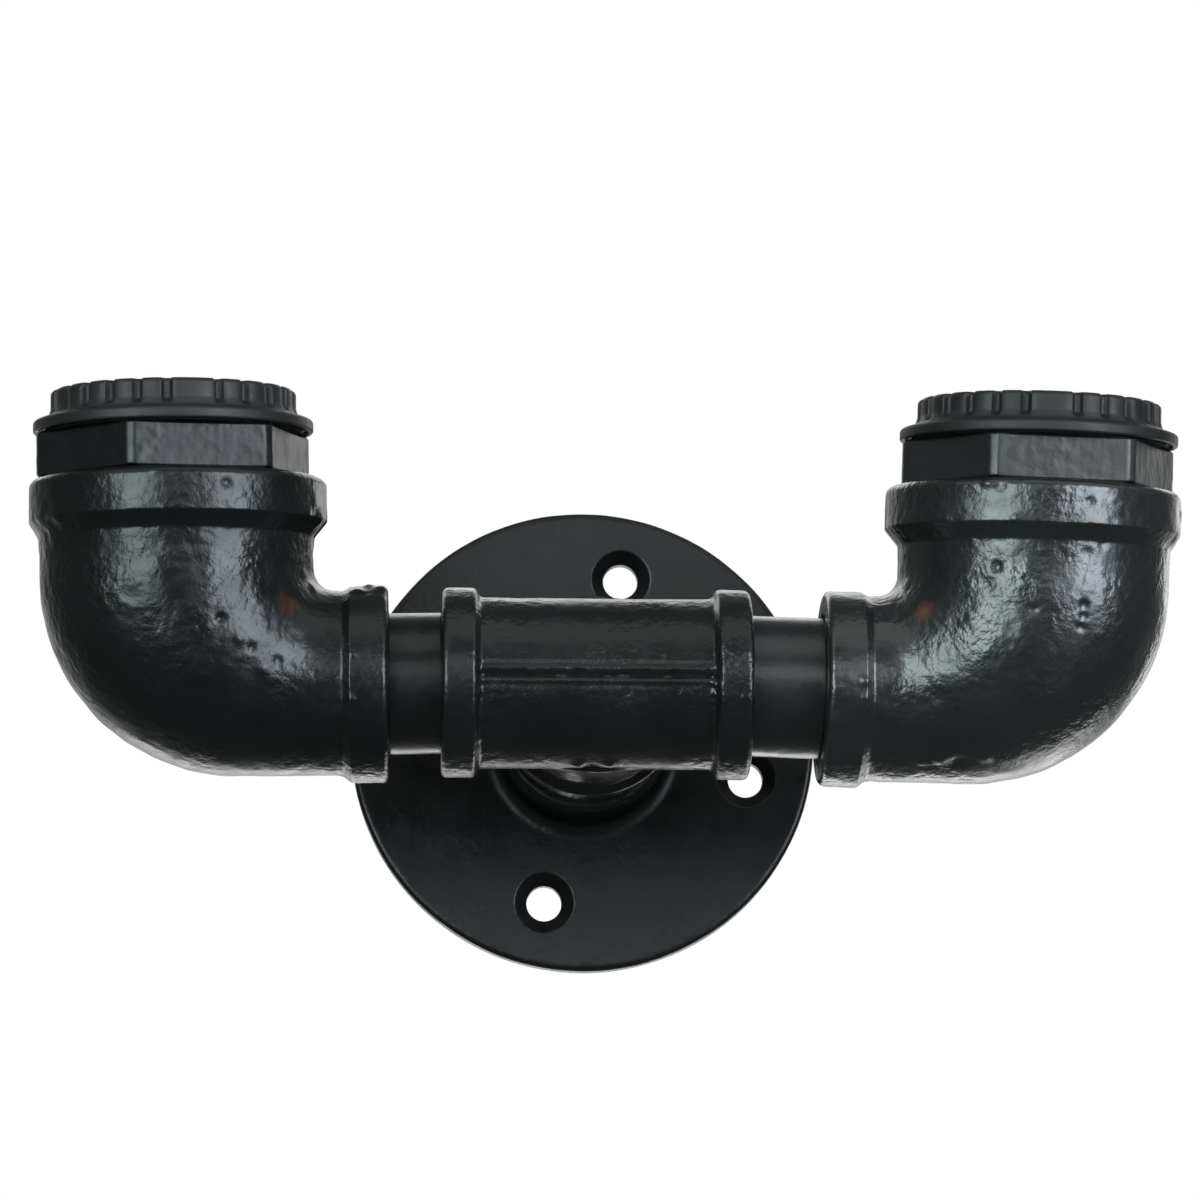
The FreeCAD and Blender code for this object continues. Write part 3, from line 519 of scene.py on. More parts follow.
def lathe(name, profile, n=128, m=None):
    """A closed mesh from a profile (radius, z) whose two ends are on the axis, placed by m."""
    profile = np.asarray(profile, float)
    body = profile[1:-1]
    g = turned(body, n).reshape(-1, 3)
    verts = np.vstack([g, [[0, 0, profile[0][1]], [0, 0, profile[-1][1]]]])
    quads = grid_faces(len(body), n, False)
    j = np.arange(n)
    j2 = (j + 1) % n
    k = (len(body) - 1) * n
    t0 = np.stack([j2, j, np.full(n, len(g))], -1)
    t1 = np.stack([k + j, k + j2, np.full(n, len(g) + 1)], -1)
    if m is not None:
        verts = place(verts, m)
    vol = volume(verts, quads) + volume(verts, t0) + volume(verts, t1)
    if vol < 0:
        quads, t0, t1 = quads[:, ::-1], t0[:, ::-1], t1[:, ::-1]
    return new_mesh(name, verts, [quads, t0, t1])


def bake(ob):
    """Apply the modifiers of an object."""
    dg = bpy.context.evaluated_depsgraph_get()
    dg.update()
    me = bpy.data.meshes.new_from_object(ob.evaluated_get(dg))
    ob.modifiers.clear()
    old = ob.data
    ob.data = me
    bpy.data.meshes.remove(old)
    return ob


def combine(ob, others, operation="DIFFERENCE"):
    for o in others:
        m = ob.modifiers.new("b", "BOOLEAN")
        m.operation = operation
        m.object = o
        m.solver = "EXACT"
    bake(ob)
    for o in others:
        bpy.data.objects.remove(o, do_unlink=True)
    return ob


def remesh(ob, voxel, smooth=0):
    m = ob.modifiers.new("r", "REMESH")
    m.mode = "VOXEL"
    m.voxel_size = voxel * MM
    m.use_smooth_shade = True
    if smooth:
        s = ob.modifiers.new("s", "SMOOTH")
        s.factor = 0.5
        s.iterations = smooth
    return bake(ob)


def coords(ob):
    v = np.empty(len(ob.data.vertices) * 3, np.float32)
    ob.data.vertices.foreach_get("co", v)
    return v.reshape(-1, 3).astype(float) / MM


def vert_normals(ob):
    v = np.empty(len(ob.data.vertices) * 3, np.float32)
    ob.data.vertex_normals.foreach_get("vector", v)
    return v.reshape(-1, 3).astype(float)


def set_coords(ob, p):
    ob.data.vertices.foreach_set("co", (p * MM).astype(np.float32).ravel())
    ob.data.update()


def transform(ob, m):
    set_coords(ob, place(coords(ob), m))
    return ob


def finish(ob, mat, body, slot, *nodes, sharp=None):
    """Give a piece its material, body and the CAD nodes it stands for."""
    ob.data.materials.clear()
    ob.data.materials.append(mat)
    n = len(ob.data.polygons)
    ob.data.polygons.foreach_set("use_smooth", np.ones(n, bool))
    ob.data.polygons.foreach_set("material_index", np.zeros(n, np.int32))
    if sharp:
        ob.data.set_sharp_from_angle(angle=math.radians(sharp))
    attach(ob, body)
    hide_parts(*nodes)
    return ob


# ------------------------------------------------------------------ reducing elbows


def outer_point(t):
    dx, dz = -math.cos(t), -math.sin(t)
    px, pz = PIV
    ox, oz = px - OUT_C[0], pz - OUT_C[1]
    b = ox * dx + oz * dz
    s = -b + math.sqrt(b * b - (ox * ox + oz * oz - OUT_R ** 2))
    x, z = px + dx * s, pz + dz * s
    if z > OUT_C[1]:
        s = (px - (OUT_C[0] - OUT_R)) / -dx
    elif x > OUT_C[0]:
        s = (pz - (OUT_C[1] - OUT_R)) / -dz
    return s


def smooth01(x):
    x = np.clip(x, 0, 1)
    return x * x * (3 - 2 * x)


def elbow_rings():
    """Rings of the elbow's closed skin: centre x, centre z, turn of the ring's plane, radius, how rough it is."""
    rings = []
    wall = (outer_point(0.0) - FIL) / 2                      # the body's radius under the mouth
    x0 = PIV[0] - (outer_point(0.0) + FIL) / 2
    top = rounded([(BIG_THREAD_R, RISE - 1.2, 0, 0.5), (BIG_THREAD_R + 1.3, RISE, 0.3, 0.7), (BIG_BEAD_R, RISE, 1.8, 0.42),
                   (BIG_BEAD_R, RISE - BIG_BEAD_W, 0.7, 0.3), (wall + 0.22, RISE - BIG_BEAD_W - 3.0, 1.3, 0.4),
                   (wall + 0.01, RISE - BIG_BEAD_W - 6.5, 4.0, 0.5), (wall, PIV[1], 0, 0.5)], step=0.45)
    for r, z in top:
        low = smooth01((RISE - BIG_BEAD_W - z) / 4.0)
        cx = BEAD_OFF * float(smooth01((r - 22.3) / 4.0)) * (1 - low) + x0 * low
        rings.append((cx, z, 0.0, r, float(smooth01((RISE + 0.3 - z) / 1.8))))
    n = 138
    for k in range(1, n + 1):
        t = math.pi / 2 * k / n
        s = outer_point(t)
        mid, r = (FIL + s) / 2, (s - FIL) / 2
        rings.append((PIV[0] - math.cos(t) * mid, PIV[1] - math.sin(t) * mid, t, r, 1.0))
    end_r, end_z = (outer_point(math.pi / 2) - FIL) / 2, PIV[1] - (outer_point(math.pi / 2) + FIL) / 2
    small = rounded([(end_r, PIV[0] + 0.01, 0, 0.5), (end_r + 0.05, REACH - SMALL_BEAD_W - 1.5, 1.2, 0.3), (SMALL_BEAD_R - 0.1, REACH - SMALL_BEAD_W, 0.5, 0.4),
                     (SMALL_BEAD_R, REACH, 1.3, 0.5), (SOCKET_R + 1.2, REACH, 0.3, 0.5), (SOCKET_R, REACH - 0.9, 0.2, 1.6),
                     (SOCKET_R, REACH - ENGAGE - 0.8, 0, 0.6), (SMALL_BEAD_R - 1.2 - 5.0, REACH - ENGAGE - 0.8)], step=0.45)
    for r, x in small[1:]:
        skin = 1.0 if r > 15.2 else 0.0
        cz = end_z * (1 - float(smooth01((x - PIV[0]) / (REACH - SMALL_BEAD_W - 0.2 - PIV[0])))) if r > 15.2 else 0.0
        rings.append((x, cz, math.pi / 2, r, skin * float(smooth01((REACH + 0.2 - x) / 1.0)) if x > 35 else skin))
    m = 16
    for k in range(m + 1):
        t = math.radians(70 - 66 * k / m)
        s = outer_point(t)
        mid, r = (FIL + s) / 2, (s - FIL) / 2
        wallt = 5.4 + (5.0 - 5.4) * math.degrees(t) / 90
        rings.append((PIV[0] - math.cos(t) * mid, PIV[1] - math.sin(t) * mid, t, r - wallt, 0.0))
    for z in np.linspace(PIV[1] + 0.4, RISE - 2.6, 8):
        rings.append((0.0, float(z), 0.0, BIG_THREAD_R, 0.0))
    return rings


def elbow_grid(n=320):
    rings = np.array(elbow_rings())
    a = np.linspace(0, 2 * math.pi, n, endpoint=False)
    cx, cz, t, r, skin = (rings[:, k][:, None] for k in range(5))
    ux, uz = -np.cos(t), -np.sin(t)
    g = np.stack([cx + ux * r * np.cos(a), r * np.sin(a) + 0 * cx, cz + uz * r * np.cos(a)], -1)
    return g, rings, a, skin


def make_elbow(side, mat):
    g, rings, a, skin = elbow_grid()
    nrm = outward(g)
    seed = 11 if side == "left" else 47
    d = cast_skin(g, seed)
    # the mould's parting line, on the plane of the two axes
    flash = np.exp(-(g[..., 1] / 0.55) ** 2) * (0.13 + 0.10 * noise(g, 4.5, seed + 8))
    d = d + np.clip(flash, 0, None)
    for c, size, h in LUMPS[side]:
        d = d + bump(g, c, size, h)
    d = np.clip(d, -0.6, 1.1) * skin
    # the mouth's and the small end's faces never rise into what is screwed on to them
    g2 = g + nrm * d[..., None]
    ob = grid_object(side + "_elbow_cast", place(g2.reshape(-1, 3), arm_frame(side)).reshape(g2.shape))
    return finish(ob, mat, side + "_arm", "cast", side + "_elbow")


# lumps, drips and pits of the castings: place in the arm's frame, size and height
LUMPS = {
    "left": [((40.2, -12.5, 5.4), 0.9, 0.5), ((40.2, -13.6, 2.0), 0.7, 0.4), ((39.4, -6.0, 17.6), 1.6, 0.6), ((34.9, -7.1, 17.2), 1.2, 0.45),
             ((37.0, -4.0, 18.3), 1.3, 0.5), ((34.0, -18.0, 4.6), 0.8, 0.35), ((33.8, -18.1, -3.8), 0.7, 0.3), ((27.3, -7.3, 31.0), 1.6, 0.55),
             ((25.4, -12.5, 31.2), 1.1, 0.35), ((26.6, -10.0, 34.5), 1.3, 0.3), ((11.2, -26.0, 36.0), 0.9, -0.4), ((26.0, -8.1, 17.3), 1.4, 0.4), ((25.2, -9.5, 21.0), 1.3, 0.35),
             ((9.8, -24.2, 11.1), 0.8, -0.45), ((13.1, -23.0, 7.3), 1.0, 0.25), ((17.4, -20.7, 1.8), 1.2, 0.28), ((20.0, -19.6, 3.4), 0.9, -0.28),
             ((15.5, -22.0, 5.6), 0.8, -0.25), ((-20.5, -18.0, 30.5), 1.4, 0.35), ((-22.5, -14.0, 28.0), 1.5, 0.3), ((-1.5, -27.5, 38.6), 0.9, 0.3)],
    "right": [((10.2, 23.6, 22.7), 0.9, -0.5), ((-6.0, 25.0, 16.1), 0.75, -0.45), ((-6.1, 25.0, 14.0), 0.7, -0.45), ((-5.6, 24.9, 11.9), 0.75, -0.45),
              ((3.6, 25.7, 15.0), 0.8, -0.32), ((-6.3, 25.0, 26.0), 0.9, -0.3), ((-9.0, 24.0, 27.5), 0.8, -0.25), ((2.8, 22.9, -0.5), 0.55, 0.4),
              ((18.6, 12.3, -13.0), 1.6, 0.6), ((10.3, 13.9, -12.8), 1.4, 0.5), ((15.1, 12.1, -13.5), 1.5, -0.4), ((22.0, 11.0, -13.6), 1.2, 0.45),
              ((10.4, 26.4, 37.6), 1.0, -0.4), ((7.6, 27.3, 31.6), 0.7, 0.45), ((-6.3, 27.3, 35.3), 0.8, -0.35), ((12.6, 25.4, 38.4), 1.0, 0.35),
              ((33.8, 18.5, 0.9), 0.8, 0.35), ((33.8, 18.4, -2.2), 0.7, 0.3), ((12.0, 23.0, 19.5), 1.1, -0.3), ((14.5, 22.0, 12.5), 1.2, 0.25),
              ((-25.5, 9.0, 30.0), 1.8, 0.4), ((-26.2, 6.0, 35.0), 1.6, 0.35), ((26.2, 8.0, 20.5), 1.4, 0.35)],
}

# ------------------------------------------------------------------ hexagon bushings


def make_hex(side, mat):
    n = 480
    z0, z1 = RISE + 0.02, RISE + HEX_H
    half = HEX_AF / 2
    corner = HEX_AF / math.sqrt(3)
    r_cut = corner - HEX_CUT
    a = np.linspace(0, 2 * math.pi, n, endpoint=False)
    p = 400.0
    face = sum(np.clip(np.cos(a - math.radians(30 + 60 * k)), 0, None) ** p for k in range(6)) ** (1 / p)
    r_hex = half / face
    prof = rounded([(BUSH_BORE_R, z0 - BUSH_TAIL + 0.6, 0, 1.2), (BUSH_BORE_R + 0.6, z0 - BUSH_TAIL, 0, 0.8), (BUSH_R - 1.2, z0 - BUSH_TAIL, 0, 0.8),
                    (BUSH_R, z0 - BUSH_TAIL + 1.2, 0, 0.16), (BUSH_R, z0 - 0.4, 0, 0.4), (BUSH_R, z0, 0.0, 0.5), (r_cut - 0.8, z0, 0.3, 0.25), (r_cut, z0 + 0.5, 0.3, 0.4),
                    (r_cut, z1 - 0.5, 0.4, 0.25), (r_cut - 0.8, z1, 0.3, 0.4), (BUSH_BORE_R + 0.7, z1, 0.3, 0.4),
                    (BUSH_BORE_R, z1 - 0.7, 0.2, 1.4)], step=0.4, closed=True)
    r, z = prof[:, 0][:, None], prof[:, 1][:, None]
    # soft minimum of the turned outline and the hexagon
    # the flats keep their own small chamfer at the top and the foot
    flat = r_hex - np.clip(0.55 - (z1 - z), 0, None) * 0.9 - np.clip(0.45 - (z - z0), 0, None) * 0.9
    w = 0.05
    lo = np.minimum(r, flat) - w * np.log1p(np.exp(-np.abs(r - flat) / w))
    rr = np.where((r > 22.0) & (z > z0 - 0.1), lo, r)
    tail = (z < z0 - 0.6) & (z > z0 - BUSH_TAIL + 1.4) & (np.abs(r - BUSH_R) < 1e-3)
    pitch = 25.4 / 11
    saw = np.abs(((z / pitch - a / (2 * math.pi)) % 1.0) * 2 - 1)
    rr = np.where(tail, rr - 1.1 * saw * 0.75, rr)
    g = np.stack([rr * np.cos(a), rr * np.sin(a), z + 0 * a], -1)
    nrm = outward(g)
    seed = 71 if side == "left" else 97
    skin = ((r > 20.95) & (z > z0 + 0.3)).astype(float) * smooth01((z - z0 - 0.2) / 0.8)
    d = cast_skin(g, seed, peel=0.9, wobble=0.55) * skin
    brushed = g * np.array([1.0, 1.0, 0.12])
    d = d + 0.012 * noise(brushed, 0.9, seed + 5) * skin
    d = np.where(z > z1 - 0.25, np.minimum(d, 0.0), d)
    g = g + nrm * d[..., None]
    turn = HEX_ANGLE[side] - (0 if side == "left" else 180)
    g = place(g.reshape(-1, 3), arm_frame(side) @ rot("z", turn)).reshape(g.shape)
    ob = grid_object(side + "_hex_bushing_cast", g)
    return finish(ob, mat, side + "_arm", "cast", side + "_hex_bushing")


# ------------------------------------------------------------------ nipples


def make_nipple(name, z_start, length, thread0, thread1, m, mat, body, node, seed):
    c = 0.8
    prof = rounded([(PIPE_BORE_R, 0.5, 0, 3.0), (PIPE_BORE_R, length - 0.5, 0, 0.4), (PIPE_BORE_R + 0.5, length, 0, 0.7), (THREAD_R - c, length, 0, 0.3),
                    (THREAD_R, length - c, 0, 0.22), (THREAD_R, length - thread1, 0, 0.2), (PIPE_R, length - thread1 - 0.3, 0, 0.7),
                    (PIPE_R, thread0 + 0.3, 0, 0.2), (THREAD_R, thread0, 0, 0.22), (THREAD_R, c, 0, 0.3), (THREAD_R - c, 0, 0, 0.7), (PIPE_BORE_R + 0.5, 0, 0, 0.4)],
                   step=0.6, closed=True)
    n = 200
    a = np.linspace(0, 2 * math.pi, n, endpoint=False)
    r, z = prof[:, 0][:, None], prof[:, 1][:, None]
    pitch = 25.4 / 14
    saw = np.abs(((z / pitch - a / (2 * math.pi)) % 1.0) * 2 - 1)
    cut = (np.abs(r - THREAD_R) < 1e-3) & ((z < thread0 - 0.3) | (z > length - thread1 + 0.3))
    rr = np.where(cut, r - 0.95 * saw, r)
    g = np.stack([rr * np.cos(a), rr * np.sin(a), z + 0 * a], -1)
    nrm = outward(g)
    skin = (r > PIPE_R - 0.05).astype(float)
    d = (0.018 * noise(g, 6.0, seed) + 0.007 * noise(g, 1.6, seed + 1)) * skin
    g = g + nrm * d[..., None]
    g[..., 2] += z_start
    ob = grid_object(name, place(g.reshape(-1, 3), m).reshape(g.shape))
    return finish(ob, mat, body, "pipe", node)


# ------------------------------------------------------------------ tee


def socket_profile(half):
    """One end of the tee, from the axis at its middle to the axis at its face."""
    body, bead, w = TEE_BODY_R, TEE_BEAD_R, TEE_BEAD_W
    return [(0.0, 0.0), (body, 0.0), (body, half - w - 1.0), (body + 0.15, half - w - 0.7), (bead - 0.25, half - w + 0.1), (bead, half - w + 0.45)] + \
        [tuple(q) for q in rounded([(bead, half - w + 0.6), (bead, half, 1.1), (0.4, half)], step=0.8, arc_step=0.25)] + [(0.0, half)]


def make_tee(mat):
    run = lathe("run", [(0.0, -TEE_HALF)] + [(r, -z) for r, z in socket_profile(TEE_HALF)[1:-1]][::-1] + socket_profile(TEE_HALF)[2:], 200, X_UP)
    branch = lathe("branch", socket_profile(TEE_BRANCH), 200, np.linalg.inv(FACE))
    combine(run, [branch], "UNION")
    remesh(run, 0.36, 2)
    # a cast fillet where the branch leaves the run
    p, nrm = coords(run), vert_normals(run)
    x, y, z = p[:, 0], p[:, 1], p[:, 2]
    d_run = np.hypot(y, z) - TEE_BODY_R
    d_br = np.where(y > 0, np.hypot(x, z) - TEE_BODY_R, 99.0)
    k = 3.2
    h = np.clip(k - np.abs(d_run - d_br), 0, None) / k
    near = np.clip(1 - np.maximum(np.abs(d_run), np.abs(d_br)) / 3.0, 0, 1)
    p = p + nrm * (h * h * k * 0.25 * near)[:, None]
    set_coords(run, p)
    s = run.modifiers.new("s", "SMOOTH")
    s.factor, s.iterations = 0.5, 1
    bake(run)
    p, nrm = coords(run), vert_normals(run)
    x, y, z = p[:, 0], p[:, 1], p[:, 2]
    ends = smooth01((TEE_HALF + 0.1 - np.abs(x)) / 0.8) * smooth01((TEE_BRANCH + 0.1 - y) / 0.8)
    d = cast_skin(p, 23, peel=0.55, wobble=0.8)
    # the mould's parting along the front of the run: two ridges with a groove between them
    inner = (y < 0) * smooth01((TEE_HALF - TEE_BEAD_W - 0.6 - np.abs(x)) / 0.8)
    q = np.stack([x, 0 * x, 0 * x], -1)
    zz = z + 0.10 * noise(q, 9.0, 31) + 0.05 * noise(q, 2.0, 32)
    step = lambda c, w: np.exp(-((zz - c) / w) ** 2)
    vary = 1 + 0.35 * noise(q, 2.6, 33) + 0.2 * noise(q, 1.1, 34)
    d = d + inner * (0.34 * vary * step(0.28, 0.42) - 0.46 * step(-1.15, 0.46) + 0.16 * vary * step(-2.05, 0.5) + 0.10 * vary * step(1.9, 0.6)
                     - 0.08 * step(-2.9, 0.4))
    for c, size, hh in LUMPS_TEE:
        d = d + bump(p, c, size, hh)
    set_coords(run, p + nrm * (d * ends)[:, None])
    cutters = []
    seat = ENGAGE + 0.6
    for side, sign in (("left", -1), ("right", 1)):
        ax = (X_DOWN if sign < 0 else X_UP)
        m = shift(0, -TEE_Y, 0) @ nipple_frame(side) @ ax
        cutters.append(lathe("c", [(0, TEE_HALF - seat), (SOCKET_R, TEE_HALF - seat), (SOCKET_R, TEE_HALF - 0.9), (SOCKET_R + 1.4, TEE_HALF + 0.5),
                                   (SOCKET_R + 1.4, TEE_HALF + 4), (0, TEE_HALF + 4)], 160, m))
    cutters.append(lathe("c", [(0, TEE_BRANCH - seat), (SOCKET_R, TEE_BRANCH - seat), (SOCKET_R, TEE_BRANCH - 0.9), (SOCKET_R + 1.4, TEE_BRANCH + 0.5),
                               (SOCKET_R + 1.4, TEE_BRANCH + 4), (0, TEE_BRANCH + 4)], 160, np.linalg.inv(FACE)))
    cutters.append(lathe("c", [(0, -(TEE_HALF - seat) - 1.0), (12.6, -(TEE_HALF - seat) - 1.0), (12.6, TEE_HALF - seat + 1.0), (0, TEE_HALF - seat + 1.0)], 96, X_UP))
    cutters.append(lathe("c", [(0, 0), (12.6, 0), (12.6, TEE_BRANCH - seat + 0.5), (0, TEE_BRANCH - seat + 0.5)], 96, np.linalg.inv(FACE)))
    combine(run, cutters)
    transform(run, shift(0, TEE_Y, 0))
    run.name = "tee_cast"
    return finish(run, mat, "tee_body", "cast", "tee", sharp=50)


LUMPS_TEE = [((-3.2, -3.0, -16.2), 1.5, 0.6), ((2.6, -3.2, -16.2), 1.7, 0.55), ((-0.4, -2.0, -16.3), 1.2, -0.35), ((22.0, -16.2, -2.6), 0.6, 0.4),
             ((21.8, -15.9, -4.4), 0.5, 0.35), ((22.0, -16.3, 0.6), 0.5, 0.3), ((-22.4, -16.2, -2.2), 0.6, 0.35), ((-22.3, -16.0, -4.4), 0.5, 0.3), ((-22.4, -16.3, 0.9), 0.5, 0.3),
             ((12.0, -15.9, 3.2), 0.7, 0.14), ((-12.5, -16.2, -0.4), 0.6, 0.18), ((27.8, -17.6, 3.5), 0.7, 0.14), ((27.4, -17.0, -5.2), 0.8, 0.14)]


def fix_normals(ob):
    import bmesh
    bm = bmesh.new()
    bm.from_mesh(ob.data)
    bmesh.ops.recalc_face_normals(bm, faces=bm.faces)
    bm.to_mesh(ob.data)
    bm.free()


# ------------------------------------------------------------------ wall flange


def make_flange(mat):
    t, h = FLANGE_T, FLANGE_H
    prof = rounded([(SOCKET_R + 0.8, 0.0, 0, 0.9), (FLANGE_R, 0.0, 0.6, 0.5), (FLANGE_R, t, 1.3, 0.6), (BOSS_R + 0.35, t, 3.6, 0.5),
                    (BOSS_R, h, 1.7, 0.6), (SOCKET_R + 0.9, h, 0.2, 0.5), (SOCKET_R, h - 0.9, 0.2, 1.6), (SOCKET_R, 0.8, 0, 0.6)], step=0.5, closed=True)
    n = 400
    g = turned(prof, n)
    nrm = outward(g)
    r, z = prof[:, 0][:, None], prof[:, 1][:, None]
    skin = ((r > SOCKET_R + 1.2) & (z > 0.4)).astype(float) * smooth01((z - 0.2) / 0.8)
    d = cast_skin(g, 83, peel=0.35, wobble=0.5) * skin
    for c, size, hh in LUMPS_FLANGE:
        d = d + bump(g, c, size, hh) * skin
    g = g + nrm * d[..., None]
    ob = grid_object("wall_flange_cast", place(g.reshape(-1, 3), FACE).reshape(g.shape))
    cutters = []
    for k in range(4):
        a = math.radians(HOLE_ANGLE + 90 * k)
        m = FACE @ shift(HOLE_PCD / 2 * math.cos(a), HOLE_PCD / 2 * math.sin(a), 0)
        s = HOLE_SINK_R - HOLE_R
        cp = rounded([(HOLE_R, -1, 0, 1.0), (HOLE_R, t - s - 0.2, 0.5, 0.5), (HOLE_SINK_R - 0.1, t - 0.10, 0.4, 0.4), (HOLE_SINK_R + 0.9, t + 0.35, 0, 0.5), (HOLE_SINK_R + 1.0, t + 1.5)], step=0.5)
        cutters.append(lathe("c", [(0, -1)] + [tuple(q) for q in cp] + [(0, t + 1.5)], 72, m))
    cutters.append(lathe("c", [(0, -0.4), (4.3, -0.4), (4.3, EARTH_POCKET), (0, EARTH_POCKET)], 48, FACE @ shift(0, -EARTH_R, 0)))
    cutters.append(lathe("c", [(0, -0.4), (1.5, -0.4), (1.5, 6.6), (0, 6.6)], 32, FACE @ shift(0, -EARTH_R, 0)))
    box = np.array([(x, y, zz) for x in (-1.8, 1.8) for y in (-EARTH_R, -EARTH_R + 6.0) for zz in (-0.3, EARTH_POCKET - 0.02)], float)
    cutters.append(new_mesh("c", place(box, FACE), [[0, 1, 3, 2], [4, 6, 7, 5], [0, 4, 5, 1], [2, 3, 7, 6], [0, 2, 6, 4], [1, 5, 7, 3]]))
    fix_normals(cutters[-1])
    combine(ob, cutters)
    return finish(ob, mat, "wall_mount", "cast", "wall_flange", sharp=38)


EARTH_R, EARTH_POCKET = 16.0, 2.25
LUMPS_FLANGE = [((-21.0, -26.0, 5.2), 2.6, 0.10), ((16.0, -29.0, 5.2), 3.0, 0.10), ((33.0, -20.0, 5.2), 2.2, 0.08), ((-33.0, 14.0, 5.2), 2.4, -0.08), ((12.0, 36.0, 5.2), 2.8, 0.07)]

# ------------------------------------------------------------------ lampholder and ring


RING_PITCH, RING_LAND = 14.127, 24.603
RING_TURN = {"left": 12.7, "right": 178.2}
RECESS_R = 25.7


def flute_angles():
    angles, a = [], 0.0
    for k in range(24):
        angles.append(a)
        a += RING_LAND if k in (11, 23) else RING_PITCH
    return [x - 90 + RING_LAND / 2 for x in angles]


def make_ring(side, mat):
    turn = RING_TURN[side]
    lip0, lip1 = SEAT + 0.12, SEAT + 2.3
    seat = SEAT + GASKET_T + 0.03
    top = RISE + RING_TOP
    pitch = 2.5
    prof = rounded([(RING_BORE_R + 0.02, seat, 0, 0.8), (24.6, seat, 0.1, 0.3), (24.6, lip1 - 1.1, 0.15, 0.3), (RECESS_R - 0.05, lip1 - 1.1, 0.3, 0.3), (RECESS_R, lip0, 0, 0.3), (RING_LIP_R, lip0, 0.42, 0.3),
                    (RING_LIP_R, lip1, 0.75, 0.3), (RING_R + 0.55, lip1 + 0.45, 1.2, 0.3), (RING_R, lip1 + 2.2, 1.6, 0.5), (RING_R, top, 1.0, 0.3), (RING_BORE_R + 0.7, top, 0.3, 0.4),
                    (RING_BORE_R + 0.02, top - 0.8, 0, 0.24)], step=0.4, closed=True)
    fl = np.radians(np.array(flute_angles()) + turn)
    half = 1.0 / RING_R
    ang = []
    for f in fl:
        ang += list(f + np.linspace(-1.25, 1.25, 17) * half)
    ang += list(np.linspace(0, 2 * math.pi, 240, endpoint=False))
    ang = np.sort(np.mod(ang, 2 * math.pi))
    keep = np.concatenate([[True], np.diff(ang) > 0.0016])
    a = ang[keep]
    r, z = prof[:, 0][:, None], prof[:, 1][:, None]
    off = np.min(np.abs((a[:, None] - fl[None, :] + math.pi) % (2 * math.pi) - math.pi), axis=1) * RING_R
    depth = np.where(off < 0.95, 1.15 * np.sqrt(np.clip(0.95 ** 2 - off ** 2, 0, None)) + 0.14, 0.0) + 0.24 * np.clip(1 - (off - 0.95) / 1.3, 0, 1) ** 2
    wall = ((r > RING_R - 2.2) & (r < RING_R + 0.6) & (z > lip1 + 0.5)).astype(float) * smooth01((z - lip1 - 0.9) / 1.0)
    rr = r - depth * wall
    bore = (np.abs(r - RING_BORE_R - 0.02) < 1e-3) & (z < top - 1.0) & (z > seat + 0.3)
    saw = np.abs(((z / pitch - a / (2 * math.pi)) % 1.0) * 2 - 1)
    rr = np.where(bore, rr + 0.95 * smooth01(saw * 1.25 - 0.1), rr)
    g = np.stack([rr * np.cos(a), rr * np.sin(a), z + 0 * a], -1)
    nrm = outward(g)
    d = 0.010 * noise(g, 5.0, 5 if side == "left" else 6)
    g = g + nrm * (d * (r > RING_R - 2))[..., None]
    ob = grid_object(side + "_shade_ring_moulded", place(g.reshape(-1, 3), arm_frame(side)).reshape(g.shape))
    return finish(ob, mat, side + "_ring", "ring_plastic", side + "_shade_ring", sharp=55)


def make_holder(side, mat):
    inner = SHELL_BORE_R + 0.5 + 0.55
    bb = FLOOR - 7.0
    prof = rounded([(inner, FLOOR - 1.0, 0, 0.6), (14.9, FLOOR - 1.0, 0, 0.9), (14.9, bb, 0, 0.5), (HOLDER_R, bb, 0.7, 1.0), (HOLDER_R, SEAT + 0.01, 0, 0.6),
                    (SKIRT_R, SEAT + 0.01, 0.3, 0.22), (SKIRT_R, RIM, 0.8, 0.5), (14.6, RIM, 1.0, 0.4), (14.4, RIM - 2.6, 0, 0.3), (inner, RIM - 2.6, 0, 0.9)], step=0.5, closed=True)
    n = 220
    a = np.linspace(0, 2 * math.pi, n, endpoint=False)
    r, z = prof[:, 0][:, None], prof[:, 1][:, None]
    saw = np.abs(((z / 2.5 - a / (2 * math.pi)) % 1.0) * 2 - 1)
    skirt = (np.abs(r - SKIRT_R) < 1e-3) & (z > SEAT + 0.5) & (z < RIM - 0.9)
    rr = np.where(skirt, r - 0.9 * smooth01(saw * 1.25 - 0.1), r)
    g = np.stack([rr * np.cos(a), rr * np.sin(a), z + 0 * a], -1)
    ob = grid_object(side + "_lampholder_moulded", place(g.reshape(-1, 3), arm_frame(side)).reshape(g.shape))
    return finish(ob, mat, side + "_arm", "holder_plastic", side + "_lampholder_body", sharp=45)


def slab(x0, x1, y0, y1, z0, z1, b=0.12):
    """A plate with softened edges, as points."""
    bm_v = []
    for sx, xx in ((1, x0), (-1, x1)):
        for sy, yy in ((1, y0), (-1, y1)):
            for sz, zz in ((1, z0), (-1, z1)):
                bm_v += [(xx, yy + sy * b, zz + sz * b), (xx + sx * b, yy, zz + sz * b), (xx + sx * b, yy + sy * b, zz)]
    return bm_v


def hull(name, pts):
    import bmesh
    bm = bmesh.new()
    vs = [bm.verts.new(tuple(c * MM for c in p)) for p in pts]
    bmesh.ops.convex_hull(bm, input=vs)
    bmesh.ops.recalc_face_normals(bm, faces=bm.faces)
    me = bpy.data.meshes.new(name)
    bm.to_mesh(me)
    bm.free()
    ob = bpy.data.objects.new(name, me)
    bpy.context.scene.collection.objects.link(ob)
    return ob


